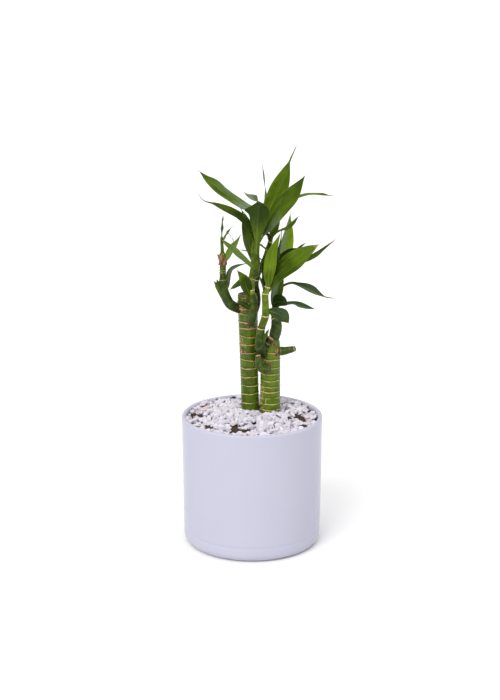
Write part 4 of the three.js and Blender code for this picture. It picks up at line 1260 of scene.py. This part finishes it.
        "taper": 1.0, "width": 7, "face": (-0.3, -0.5, 0.8), "tone": 0.16,
        "marks": [("light", 0, 0.3, 0.7, 0.15), ("dry", 0, 0.88, 2, 0.8)],
    },
    "leaf_rear_dark": {
        "rib": [
            (28, 17.5, 265.7), (27.8, 16, 273.9), (29.2, 14.5, 282.2), (34, 12, 288.3),
            (41.7, 8.5, 292.5), (50.3, 6, 295.4), (58.9, 4, 299.3),
        ],
        "width": 14, "face": (0, -0.6, 0.8), "tone": 0.06,
        "marks": [("bloom_and_sheen", 1, 0.2, 0.7, 0.35), ("light", 0, 0.7, 2, 0.15)],
    },
    "leaf_rear_narrow": {
        "rib": [(26.5, 16, 259), (29, 9, 270), (33, 3.2, 283), (41.5, -0.5, 295), (51.5, -4, 305)],
        "widest": 0.75, "taper": 0.8, "width": 6.5, "face": (-0.5, -0.3, 0.8), "tone": 0.16,
    },
    # Its light and bloom marks paint a pale glare over the blade
    "leaf_rear_pale": {
        "rib": [(28, 19, 272), (31, 22, 281), (33.5, 26, 293), (36, 29, 309.5), (37.5, 30, 329)],
        "width": 14, "face": (0, -1, 0.1), "fold": 26, "tone": 0.34,
        "marks": [("light", 0, 0.3, 2, 0.8), ("bloom_and_sheen", -1, 0.3, 2, 0.6)],
    },
    "leaf_rear_arch": {
        "rib": [
            (24.6, 16.5, 246.5), (26.5, 14.5, 252.2), (29.3, 13, 257.5), (34.2, 11, 260.8),
            (39, 9.5, 262.2), (43.9, 8, 261.6), (50.6, 5.5, 259.9), (57.4, 3, 257.3), (64.2, 1, 253.8),
            (71.9, -1, 250.6), (80.1, -2, 249.7),
        ],
        "width": 9.4, "widest": 0.64, "shoulder": 6, "tail": 0.1, "face": (0.2, -0.6, 0.8), "tone": 0.14,
        "marks": [("bloom_and_sheen", 1, 0.1, 2, 0.4), ("bloom_and_sheen", -1, 0.1, 2, 0.15)],
    },
    "leaf_rear_low": {
        "rib": [
            (24.5, 18, 236.5), (32.6, 22, 238), (39.6, 25, 238.2), (45.7, 27, 236.2), (52.7, 28, 233.8),
            (63.1, 28, 231.3),
        ],
        "widest": 0.7, "width": 7.5, "face": (0, -0.5, 0.9), "tone": 0.14,
        "marks": [("bloom_and_sheen", 1, 0.2, 2, 0.4), ("bloom_and_sheen", -1, 0.2, 2, 0.15)],
    },
    "leaf_rear_curl": {
        "rib": [(20.6, 12.5, 239.5), (24.2, 9, 243.4), (29.5, 5, 244.2), (34, 3, 241.5)],
        "width": 14.5, "widest": 0.45, "shoulder": 0.7, "taper": 0.8, "face": (0, -0.85, 0.5), "tone": 0.06,
    },
}
MARK_KINDS = ("bloom_and_sheen", "light", "deep", "dry")
BASE_SHARE = 0.25
SMALLEST_BASE = 2.2
TIP_SHARE = 0.16
TIP_WIDTH = 0.3
TAIL_WIDTH = 1.3
USUAL_FOLD = 14
WAVES = 2.5
WAVE_LAG = 1.5
SOFT_END = 0.1

# How finely a blade is built: the step along it, and the lanes across broad ones and slim ones
BLADE_STEP = 0.9
FEWEST_ROWS = 24
BROAD_FROM = 8
BROAD_LANES = 25
SLIM_LANES = 15


def blade_width(places, width, widest=0.42, shoulder=1.3, taper=1.4, tail=0):
    """Width along a blade: a narrow base, fullest at widest, and a tip that may end in a thin tail."""
    swell = np.sin(np.pi / 2 * np.clip(places / widest, 0, 1)) ** shoulder
    lower = np.maximum(SMALLEST_BASE, width * (BASE_SHARE + (1 - BASE_SHARE) * swell))
    past = np.clip((places - widest) / (1 - tail - widest), 0, 1)
    left = np.clip((1 - places) / TIP_SHARE, 0, 1) ** 0.7
    least = TIP_WIDTH + (TAIL_WIDTH if tail else TIP_WIDTH) * left
    upper = np.maximum(least, width * np.cos(np.pi / 2 * past) ** taper)
    return np.where(places < widest, lower, upper)


def blade_rows(spec, step, lanes):
    """The middle surface of a blade: points, the way up at each, half widths, places, lanes and length."""
    _, _, length = even_spline(spec["rib"], FEWEST_ROWS)
    count = max(FEWEST_ROWS, round(length / step))
    centres, along, _ = even_spline(spec["rib"], count)
    places = np.linspace(0, 1, count)
    face = np.array(spec["face"], float)
    up = unit(face - (along @ face)[:, None] * along)
    base_turn, tip_turn = spec.get("turn", (0, 0))
    twist = base_turn * (1 - smooth(places, 0, 0.4)) + tip_turn * smooth(places, 0.6, 1)
    twist = np.radians(twist)[:, None]
    up = up * np.cos(twist) + np.cross(along, up) * np.sin(twist)
    across = np.cross(along, up)
    outline = {key: spec[key] for key in ("width", "widest", "shoulder", "taper", "tail") if key in spec}
    half = (blade_width(places, **outline) / 2)[:, None]
    fold = math.radians(spec.get("fold", USUAL_FOLD))
    lane = np.linspace(-1, 1, lanes)[None, :]
    place = places[:, None]
    # How far from the rib, with its crease rounded off
    side = np.sqrt(lane**2 + 0.01) - 0.1
    ripple = 0.5 * np.sin(np.pi * place) * np.sin(2 * np.pi * WAVES * place + WAVE_LAG * lane)
    arch = 0.12 * half * side * (1 - side)
    lift = side * (half * math.sin(fold) + ripple) + arch
    aside = (lane + spec.get("skew", 0) * side) * half * math.cos(fold)
    for edge, middle, reach, amount in spec.get("lobes", ()):
        aside += amount * edge * smooth(edge * lane, 0, 1) * hump(place - middle, reach)
    points = centres[:, None] + across[:, None] * aside[..., None] + up[:, None] * lift[..., None]
    return points, up, half, place, lane, length


def closed_blade(points, ways, upper, lower):
    """Points and faces of a sheet made thick: upper and lower are the distances to its two faces."""
    count, lanes = points.shape[:2]
    top = points + ways * upper[..., None]
    under = points - ways * lower[..., None]
    both = np.concatenate([top.reshape(-1, 3), under.reshape(-1, 3)])
    grid = np.arange(count * lanes).reshape(count, lanes)
    a, b = grid[:-1, :-1], grid[:-1, 1:]
    c, d = grid[1:, 1:], grid[1:, :-1]
    faces = np.stack([a, b, c, d], -1).reshape(-1, 4).tolist()
    below = count * lanes
    faces += (np.stack([a, d, c, b], -1).reshape(-1, 4) + below).tolist()
    border = grid[:, 0].tolist() + grid[-1, 1:].tolist()
    border += grid[-2::-1, -1].tolist() + grid[0, -2:0:-1].tolist()
    for first, second in zip(border, border[1:] + border[:1]):
        faces.append((first, second, second + below, first + below))
    return both, faces


def stretch(place, start, end):
    """1 between two places along a blade and 0 outside them, with soft ends."""
    begun = smooth(place, start - SOFT_END, start + SOFT_END)
    return begun * smooth(place, end + SOFT_END, end - SOFT_END)


def make_blade(name, spec, settings, nodes=()):
    """A folded, waved blade with its rib, bands and margins, and the shades of its marks."""
    lanes = BROAD_LANES if spec["width"] > BROAD_FROM else SLIM_LANES
    points, up, half, place, lane, length = blade_rows(spec, BLADE_STEP, lanes)
    flat = 0 * place * lane
    seed = sum(map(ord, name))
    flutter = 0.22 * grain(np.stack([place * 9 + flat, lane + flat], -1), 1.0, seed)
    points = points + up[:, None] * (flutter * lane**2 * np.minimum(half, 4) / 4)[..., None]
    off_rib = lane * half
    bands = 0.025 * np.cos(2 * np.pi * settings.bands * lane) * smooth(half, 1.5, 5)
    thin = settings.thickness / MM / 2 * (1 - 0.55 * lane**2) * smooth(half, 0.0, 1.2) + 0.06
    groove = 0.2 * hump(off_rib, 0.6) * smooth(half, 1, 3) - bands
    keel = 0.34 * hump(off_rib, 0.55) * smooth(half, 1, 3) * (1.1 - place) - bands
    both, faces = closed_blade(points, np.repeat(up[:, None], lanes, 1), thin - groove, thin + keel)
    layers = {"across": lane, "off": off_rib, "run": place * length, "along": place, "wide": half}
    layers = {layer: values + flat for layer, values in layers.items()}
    layers.update((kind, flat) for kind in MARK_KINDS)
    ragged = 0.035 * grain(points, 2.2, seed + 1) + 0.03 * np.abs(lane)
    for kind, side, start, end, strength in spec.get("marks", ()):
        window = strength * stretch(place + ragged, start, end)
        if side:
            window = window * smooth(side * lane, -0.12, 0.12)
        layers[kind] = np.maximum(layers[kind], window)
    shades = {layer: np.tile(values.ravel(), 2) for layer, values in layers.items()}
    shades["under"] = np.repeat([0, 1], flat.size)
    shades["tone"] = np.full(len(both), spec["tone"])
    shades["seed"] = np.full(len(both), seed % 97)
    finish = bpy.data.materials.get("leaf_blade") or leaf_finish(settings)
    add_piece(name + "_blade", both, faces, finish, nodes, shades)


def leaf_finish(settings):
    """A waxy blade: parallel veins, a pale rib, a thin light margin, grey bloom with painted sheen, painted
    glints, streaks and dry ends.
    """
    finish = Finish("leaf_blade", Specular_IOR_Level=0.09)
    across = finish.shade("across")
    along = finish.shade("along")
    off = finish.shade("off")
    run = finish.shade("run")
    wide = finish.shade("wide")
    off_rib = finish.count("ABSOLUTE", across)
    drift = finish.ease(finish.grain_along(off, run, 5, 40), 0.3, 0.7, -0.8, 0.8)
    turns = finish.plus(finish.times(across, 2 * math.pi * settings.bands), drift)
    bands = finish.ease(finish.count("COSINE", turns), -1.0, 1.0, 1.0, -1.0)
    broad = finish.ease(wide, 0.8, 4.0)
    veins = finish.times(finish.count("SINE", finish.times(across, 2 * math.pi * settings.veins)), broad)
    streak = finish.grain_along(off, run, 0.9, 26, 3)
    # Lighter and deeper stretches move the green up and down; on leaf_rear_pale the lighter one is a painted
    # glare, and on leaf_front_crossing the deeper one is painted shade over its base
    share = finish.plus(finish.shade("tone"), finish.times(finish.shade("light"), 0.7))
    share = finish.count("SUBTRACT", share, finish.shade("deep"))
    share = finish.plus(share, finish.ease(along, 0.0, 0.3, 0.07, 0.0))
    share = finish.plus(share, finish.times(finish.times(bands, broad), 0.014))
    share = finish.plus(share, finish.times(veins, 0.014))
    share = finish.sway(share, streak, 0.035)
    share = finish.sway(share, finish.grain_along(off, run, 6, 16, 3), 0.06)
    green = finish.blend(finish.ease(share, 0.0, 1.0), settings.deep, settings.bright)
    # Grey bloom with painted sheen, in streaks
    bloom_and_sheen = finish.times(finish.shade("bloom_and_sheen"), finish.ease(streak, 0.25, 0.65, 0.6, 1.1))
    green = finish.blend(bloom_and_sheen, green, settings.bloom_and_sheen)
    under = finish.shade("under")
    green = finish.blend(finish.times(under, 0.15), green, settings.underside)
    rib = finish.ease(finish.times(off_rib, wide), 0.5, 0.15)
    green = finish.blend(finish.times(rib, finish.ease(along, 0.0, 0.95, 0.24, 0.0)), green, settings.rib)
    margin = finish.times(finish.ease(off_rib, 0.94, 0.99), 0.16)
    green = finish.blend(margin, green, settings.rib)
    # Painted glints: small pale spots scattered over the blade
    painted_glint = finish.ease(finish.cells(7), 0.07, 0.045)
    painted_glint = finish.times(painted_glint, finish.ease(finish.noise(23, 1), 0.56, 0.64, 0.0, 0.55))
    green = finish.blend(painted_glint, green, settings.bloom_and_sheen)
    dry = finish.shade("dry")
    brown = finish.blend(finish.noise(1.5, 4), settings.dry, settings.dry_deep)
    finish.colour(finish.blend(finish.ease(dry, 0.2, 0.7), green, brown))
    rough = finish.ease(finish.noise(5, 3), 0.3, 0.7, 0.24, 0.4)
    rough = finish.plus(rough, finish.times(under, 0.1))
    finish.gloss(finish.plus(rough, finish.times(dry, 0.3)))
    finish.relief(veins, 0.05, 0.5)
    finish.relief(streak, 0.06, 0.4)
    return finish.material


# Small scales, sheaths and threads that the shoots keep, made like the leaves
BITS = {
    "scale_front": {
        "rib": [(11.5, -3.2, 206), (13.6, -4.4, 212), (15.2, -4.8, 216.5), (16.8, -4.4, 220)],
        "width": 5.5, "face": (-0.5, 0.8, 0.2), "tone": 0.2, "fold": 22,
    },
    "sheath_rear": {
        "rib": [(22.5, 13, 237), (23.4, 12.5, 245), (25, 12, 255), (28.5, 11.5, 266), (32, 11, 274)],
        "width": 12.5, "widest": 0.45, "shoulder": 0.5, "face": (-0.1, -1, 0.1), "tone": 0.2, "fold": 24,
        "marks": [("bloom_and_sheen", -1, 0.2, 0.7, 0.6), ("light", 1, 0.2, 0.9, 0.15)],
    },
    "thread_left": {
        "rib": [(-17.6, 8, 301), (-18.2, 8, 305), (-20.1, 9, 308.2), (-23, 10, 311.8)],
        "width": 0.8, "widest": 0.04, "face": (0.4, -0.8, 0.3), "tone": 0.24,
        "marks": [("bloom_and_sheen", 0, -1, 2, 0.8)],
    },
}

# The dry sheath on the left shoot
SHEATH_MIDDLE = (-28.7, 15)
SHEATH_FOOT = 279.5
SHEATH_HEIGHT = 10
SHEATH_RADIUS = 3.8
SHEATH_THICKNESS = 0.3
SHEATH_RINGS = 26
SHEATH_SIDES = 72


def make_dry_sheath(settings):
    """The torn papery sheath that stands round the thin part of the left shoot."""
    up = np.linspace(0, 1, SHEATH_RINGS)[:, None]
    angles = full_turn(SHEATH_SIDES)
    circle = circle_at(angles)
    torn = SHEATH_HEIGHT + 3.4 * grain(circle, 0.6, 81) + 2.2 * grain(circle, 0.2, 82)
    height = SHEATH_FOOT + 1.6 * grain(circle, 0.7, 85) * (1 - up) + up * torn
    skin = np.stack(np.broadcast_arrays(np.cos(angles), np.sin(angles), up * 1.5), -1)
    radius = SHEATH_RADIUS + 0.8 * np.sin(up * 2.2) + 0.8 * grain(skin, 0.45, 83)
    radius = radius + 1.6 * smooth(up, 0.5, 1) * grain(circle, 0.5, 84)
    # Its outside goes up and its inside comes down again, so that the rings close on themselves
    reach = np.concatenate([radius, radius[::-1] - SHEATH_THICKNESS])
    rows = np.zeros((2 * SHEATH_RINGS, SHEATH_SIDES, 3))
    rows[..., :2] = SHEATH_MIDDLE + reach[..., None] * circle
    rows[..., 2] = np.concatenate([height, height[::-1]])
    near = np.arange(SHEATH_SIDES)
    far = (near + 1) % SHEATH_SIDES
    start = np.arange(0, 2 * SHEATH_RINGS * SHEATH_SIDES, SHEATH_SIDES)[:, None]
    ahead = np.roll(start, -1, 0)
    faces = np.stack([start + near, start + far, ahead + far, ahead + near], -1)
    level = np.repeat(np.concatenate([up, up[::-1]]), SHEATH_SIDES)
    add_piece(
        "sheath_dry", rows.reshape(-1, 3), faces.reshape(-1, 4).tolist(), paper_finish(settings), (),
        {"up": level},
    )


def paper_finish(settings):
    """Dead sheath: brown paper with darker fibres, paler at its torn edge."""
    finish = Finish("dry_sheath", Roughness=0.85, Specular_IOR_Level=0.2)
    fibre = finish.noise(1.1, 4, (1, 1, 7))
    tint = finish.blend(finish.ease(fibre, 0.35, 0.85), settings.paper_deep, settings.paper)
    edge = finish.ease(finish.shade("up"), 0.8, 1.0, 0.0, 0.5)
    finish.colour(finish.blend(edge, tint, settings.paper_edge))
    finish.relief(fibre, 0.25, 0.8)
    return finish.material


# Settings

def colour_setting(label, words, value):
    """A colour, as the linear values that shaders take."""
    return FloatVectorProperty(
        name=label, description=words, default=value, size=4, min=0, max=1, subtype="COLOR",
    )


def length_setting(label, words, value):
    """A length, given in millimetres."""
    return FloatProperty(
        name=label, description=words, default=value * MM, min=0, unit="LENGTH", subtype="DISTANCE",
    )


def number_setting(label, words, value, **limits):
    """A strength or a share, from 0 up."""
    return FloatProperty(name=label, description=words, default=value, min=0, **limits)


def count_setting(label, words, value, **limits):
    """A whole number."""
    return IntProperty(name=label, description=words, default=value, **limits)


class PotSettings(bpy.types.PropertyGroup):
    """Sizes and glaze of the pot"""
    wall: length_setting("Wall", "Thickness of the pot's wall at its rim", 4.6)
    groove_depth: length_setting("Groove", "Depth of the groove above the foot", 0.3)
    wobble: length_setting("Wobble", "How far the wall strays from a true cylinder", 0.04)
    glaze: colour_setting("Glaze", "Colour of the glaze", srgb(190, 189, 205))
    glaze_shade: colour_setting("Glaze shade", "Colour of the glaze where it lies thick", srgb(186, 185, 202))
    dust: colour_setting("Dust", "Colour of the specks of dust and pinholes", srgb(150, 142, 150))
    clay: colour_setting("Clay", "Colour of the bare clay under the foot", srgb(224, 216, 206))
    clay_shade: colour_setting("Clay shade", "Darker colour of the bare clay", srgb(196, 184, 172))


class SoilSettings(bpy.types.PropertyGroup):
    """Crumbs and colours of the soil"""
    crumb_size: length_setting("Crumbs", "Size of the crumbs of soil", 1.8)
    soil: colour_setting("Soil", "Colour of the soil", srgb(46, 34, 30))
    soil_light: colour_setting("Dry soil", "Colour of its dry crumbs", srgb(96, 76, 66))
    fibre: colour_setting("Fibre", "Colour of the fibres in it", srgb(122, 98, 78))


class GravelSettings(bpy.types.PropertyGroup):
    """Size and colours of the stone chips"""
    chip_size: length_setting("Chips", "Usual breadth of a chip", 7.8)
    gap: length_setting("Gap", "How deep a gap among the chips may stay", 1.1)
    seed: count_setting("Seed", "Number that the scatter of chips starts from", 12, min=0)
    white: colour_setting("White", "Colour of the whitest chips", srgb(220, 216, 225))
    grey: colour_setting("Grey", "Colour of the greyest chips", srgb(200, 194, 204))
    rosy: colour_setting("Rosy", "Colour of the pale rosy chips", srgb(220, 208, 210))
    rosy_deep: colour_setting("Deep rosy", "Colour of the deepest rosy chips", srgb(208, 192, 190))
    stain: colour_setting("Stain", "Colour of the stains on the chips", srgb(192, 178, 172))


class CaneSettings(bpy.types.PropertyGroup):
    """Skin and scars of the canes"""
    relief: number_setting("Relief", "How strongly scars stand out", 1, max=2, subtype="FACTOR")
    deep: colour_setting("Deep green", "Darkest green of the skin", srgb(20, 34, 2))
    bright: colour_setting("Bright green", "Brightest green of the skin", srgb(108, 136, 12))
    weathered: colour_setting("Weathered", "Colour of weathered skin", srgb(96, 92, 40))
    scar: colour_setting("Scar", "Colour of the upper leaf scars", srgb(184, 146, 108))
    scar_light: colour_setting("Light scar", "Colour of the lower leaf scars", srgb(194, 172, 116))
    rust: colour_setting("Rust", "Colour of the rusty bits in the scars", srgb(176, 116, 62))
    knot: colour_setting("Knot", "Brown of the scar tissue", srgb(88, 56, 36))
    cut: colour_setting("Cut", "Colour of the cut wood", srgb(82, 76, 66))
    cut_deep: colour_setting("Cut shade", "Dark colour of the cut wood", srgb(34, 30, 28))


class ShootSettings(bpy.types.PropertyGroup):
    """Skin of the shoots"""
    deep: colour_setting("Deep green", "Darkest green of the shoots", srgb(22, 38, 2))
    bright: colour_setting("Bright green", "Brightest green of the shoots", srgb(138, 164, 34))
    # Its colour also paints the sheen on the shoots
    bloom_and_sheen: colour_setting("Bloom", "Grey-green of the waxy bloom", srgb(96, 116, 66))
    sheath_edge: colour_setting("Sheath edge", "Colour of the sheaths' thin edges", srgb(160, 176, 84))
    scar: colour_setting("Scar", "Colour of the leaf scars", srgb(176, 148, 98))
    scar_light: colour_setting("Light scar", "Palest colour of the leaf scars", srgb(226, 212, 166))
    foot: colour_setting("Foot", "Brown where a shoot leaves its cane", srgb(88, 62, 34))


class LeafSettings(bpy.types.PropertyGroup):
    """Blades of the leaves"""
    thickness: length_setting("Thickness", "Thickness of a blade beside its rib", 0.5)
    bands: count_setting("Bands", "Broad bands on each half of a blade", 3, min=1, max=9)
    veins: count_setting("Veins", "Fine veins on each half of a blade", 11, min=1, max=30)
    deep: colour_setting("Deep green", "Darkest green of the leaves", srgb(24, 44, 0))
    bright: colour_setting("Bright green", "Brightest green of the leaves", srgb(136, 168, 34))
    # Its colour also paints the sheen and the glints on the leaves
    bloom_and_sheen: colour_setting("Bloom", "Grey-green of the waxy bloom", srgb(122, 137, 113))
    underside: colour_setting("Underside", "Green of the underside", srgb(96, 122, 44))
    rib: colour_setting("Rib", "Pale green of the rib and margins", srgb(158, 180, 84))
    dry: colour_setting("Dry", "Colour of dry tips", srgb(182, 160, 124))
    dry_deep: colour_setting("Dark dry", "Darkest colour of dry tips", srgb(120, 94, 66))
    paper: colour_setting("Paper", "Colour of the papery dead sheath", srgb(184, 142, 108))
    paper_deep: colour_setting("Dark paper", "Colour of its darkest fibres", srgb(92, 56, 40))
    paper_edge: colour_setting("Paper edge", "Colour of its torn edge", srgb(206, 178, 140))


class StageSettings(bpy.types.PropertyGroup):
    """Floor and lights"""
    floor: colour_setting("Floor", "Colour of the plain floor", (0.93, 0.93, 0.93, 1.0))
    sky: number_setting("Sky", "Strength of the light from overhead", 1.13)
    sides: number_setting("Sides", "Share of it that comes from all round", 0.28)
    key: number_setting("Key light", "Strength of the soft light at the left", 1.45)
    fill: number_setting("Fill light", "Strength of the soft light at the right", 0.2)


# Stage

# The camera's place in millimetres, its pitch in radians, and half the floor's breadth in millimetres
CAMERA_DISTANCE = 1426
CAMERA_HEIGHT = 590
CAMERA_X = -2.04
CAMERA_PITCH = 0.2689
FLOOR_REACH = 14000

# The lens: its focal length in pixels of a picture that high, and the sensor in millimetres
FOCAL_PIXELS = 1504.6
PICTURE_HEIGHT = 700
SENSOR = 36

# The tone of the floor's faint clouds, as a share of its colour
FLOOR_CLOUDS = 0.99

# The soft lights: where each stands, in metres, and how wide it looks, in degrees
KEY_PLACE = (-1.1, -1.9, 1.9)
KEY_BREADTH = 34
FILL_PLACE = (1.7, -1.4, 1.5)
FILL_BREADTH = 60


def make_camera():
    """The camera, in front of the pot and looking down on it a little."""
    camera = bpy.data.cameras.new("camera")
    camera.sensor_width = SENSOR
    camera.lens = FOCAL_PIXELS * SENSOR / PICTURE_HEIGHT
    camera.clip_end = 100
    holder = bpy.data.objects.new("camera", camera)
    holder.location = (CAMERA_X * MM, -CAMERA_DISTANCE * MM, CAMERA_HEIGHT * MM)
    holder.rotation_euler = (math.pi / 2 - CAMERA_PITCH, 0, 0)
    bpy.context.scene.collection.objects.link(holder)
    bpy.context.scene.camera = holder


def make_light(name, place, breadth, strength):
    """A broad soft light that shines from a place towards the middle, as seen breadth degrees wide."""
    light = bpy.data.lights.new(name, "SUN")
    light.angle = math.radians(breadth)
    light.energy = strength
    holder = bpy.data.objects.new(name, light)
    holder.location = place
    holder.rotation_euler = (-Vector(place)).to_track_quat("-Z", "Y").to_euler()
    bpy.context.scene.collection.objects.link(holder)


def make_floor(settings):
    """A wide pale floor with the faintest clouds of tone."""
    reach = FLOOR_REACH * MM
    mesh = bpy.data.meshes.new("floor")
    corners = [(-reach, -reach, 0), (reach, -reach, 0), (reach, reach, 0), (-reach, reach, 0)]
    mesh.from_pydata(corners, [], [(0, 1, 2, 3)])
    finish = Finish("floor", Roughness=0.9, Specular_IOR_Level=0.1)
    dimmer = [FLOOR_CLOUDS * channel for channel in settings.floor[:3]]
    finish.colour(finish.blend(finish.noise(900, 1), settings.floor, (*dimmer, 1.0)))
    mesh.materials.append(finish.material)
    floor = bpy.data.objects.new("floor", mesh)
    bpy.context.scene.collection.objects.link(floor)


def make_sky(settings):
    """Even white light, dimmer from the sides so that leaves and glaze keep their depth."""
    world = bpy.data.worlds.new("sky")
    world.use_nodes = True
    nodes = world.node_tree.nodes
    links = world.node_tree.links
    nodes["Background"].inputs["Color"].default_value = (1, 1, 1, 1)
    parts = nodes.new("ShaderNodeSeparateXYZ")
    links.new(nodes.new("ShaderNodeTexCoord").outputs["Generated"], parts.inputs[0])
    ramp = nodes.new("ShaderNodeMapRange")
    ramp.interpolation_type = "SMOOTHSTEP"
    ends = {"From Min": 0.0, "From Max": 0.8, "To Min": settings.sky * settings.sides, "To Max": settings.sky}
    for name, value in ends.items():
        ramp.inputs[name].default_value = value
    links.new(parts.outputs["Z"], ramp.inputs["Value"])
    links.new(ramp.outputs["Result"], nodes["Background"].inputs["Strength"])
    bpy.context.scene.world = world


# Operators

class LUCKYBAMBOO_OT_pot(bpy.types.Operator):
    """Turn the glazed pot, with its groove and bare foot"""
    bl_idname = "lucky_bamboo.pot"
    bl_label = "Pot"

    def execute(self, context):
        make_pot(context.scene.bamboo_pot)
        return {"FINISHED"}


class LUCKYBAMBOO_OT_soil(bpy.types.Operator):
    """Fill the pot with crumbly soil"""
    bl_idname = "lucky_bamboo.soil"
    bl_label = "Soil"

    def execute(self, context):
        make_soil(context.scene.bamboo_soil)
        return {"FINISHED"}


class LUCKYBAMBOO_OT_gravel(bpy.types.Operator):
    """Lay the bed of white and rosy stone chips"""
    bl_idname = "lucky_bamboo.gravel"
    bl_label = "Gravel"

    def execute(self, context):
        make_gravel(context.scene.bamboo_gravel)
        return {"FINISHED"}


class LUCKYBAMBOO_OT_canes(bpy.types.Operator):
    """Stand the two ringed canes, with the short one's old stubs"""
    bl_idname = "lucky_bamboo.canes"
    bl_label = "Canes"

    def execute(self, context):
        settings = context.scene.bamboo_canes
        for name in CANES:
            make_cane(name, settings)
        for name in STUBS:
            make_stub(name, settings)
        return {"FINISHED"}


class LUCKYBAMBOO_OT_shoots(bpy.types.Operator):
    """Grow the five shoots out of the canes"""
    bl_idname = "lucky_bamboo.shoots"
    bl_label = "Shoots"

    def execute(self, context):
        for name in SHOOTS:
            make_shoot(name, context.scene.bamboo_shoots)
        return {"FINISHED"}


class LUCKYBAMBOO_OT_leaves(bpy.types.Operator):
    """Grow every leaf along its rib, with veins, waved edges and dry tips"""
    bl_idname = "lucky_bamboo.leaves"
    bl_label = "Leaves"

    def execute(self, context):
        settings = context.scene.bamboo_leaves
        for name, spec in LEAVES.items():
            make_blade(name, spec, settings, [name])
        for name, spec in BITS.items():
            make_blade(name, spec, settings)
        make_dry_sheath(settings)
        return {"FINISHED"}


class LUCKYBAMBOO_OT_stage(bpy.types.Operator):
    """Set the pale floor, the soft studio light and the camera"""
    bl_idname = "lucky_bamboo.stage"
    bl_label = "Stage"

    def execute(self, context):
        settings = context.scene.bamboo_stage
        make_camera()
        make_floor(settings)
        make_sky(settings)
        make_light("key_light", KEY_PLACE, KEY_BREADTH, settings.key)
        make_light("fill_light", FILL_PLACE, FILL_BREADTH, settings.fill)
        bpy.context.scene.view_settings.view_transform = "Standard"
        return {"FINISHED"}


class LUCKYBAMBOO_PT_panel(bpy.types.Panel):
    """Every piece of the lucky bamboo, in the order in which it is made"""
    bl_idname = "LUCKYBAMBOO_PT_panel"
    bl_label = "Lucky Bamboo"
    bl_space_type = "VIEW_3D"
    bl_region_type = "UI"
    bl_category = "Lucky Bamboo"

    def draw(self, context):
        for group, _, operator in STEPS:
            box = self.layout.box()
            settings = getattr(context.scene, group)
            for name in settings.__annotations__:
                box.prop(settings, name)
            box.operator(operator.bl_idname)


# Where each group's settings are kept, their class and the operator that they belong to
STEPS = [
    ("bamboo_pot", PotSettings, LUCKYBAMBOO_OT_pot),
    ("bamboo_soil", SoilSettings, LUCKYBAMBOO_OT_soil),
    ("bamboo_gravel", GravelSettings, LUCKYBAMBOO_OT_gravel),
    ("bamboo_canes", CaneSettings, LUCKYBAMBOO_OT_canes),
    ("bamboo_shoots", ShootSettings, LUCKYBAMBOO_OT_shoots),
    ("bamboo_leaves", LeafSettings, LUCKYBAMBOO_OT_leaves),
    ("bamboo_stage", StageSettings, LUCKYBAMBOO_OT_stage),
]
CLASSES = [made for _, *pair in STEPS for made in pair] + [LUCKYBAMBOO_PT_panel]


def register():
    """Adds the settings, the operators and the panel."""
    for made in CLASSES:
        bpy.utils.register_class(made)
    for group, settings, _ in STEPS:
        setattr(bpy.types.Scene, group, PointerProperty(type=settings))


def unregister():
    """Takes them away again."""
    for group, _, _ in STEPS:
        delattr(bpy.types.Scene, group)
    for made in reversed(CLASSES):
        bpy.utils.unregister_class(made)


def main():
    """Makes every piece and the stage."""
    register()
    bpy.ops.lucky_bamboo.pot()
    bpy.ops.lucky_bamboo.soil()
    bpy.ops.lucky_bamboo.gravel()
    bpy.ops.lucky_bamboo.canes()
    bpy.ops.lucky_bamboo.shoots()
    bpy.ops.lucky_bamboo.leaves()
    bpy.ops.lucky_bamboo.stage()


if __name__ == "__main__":
    main()
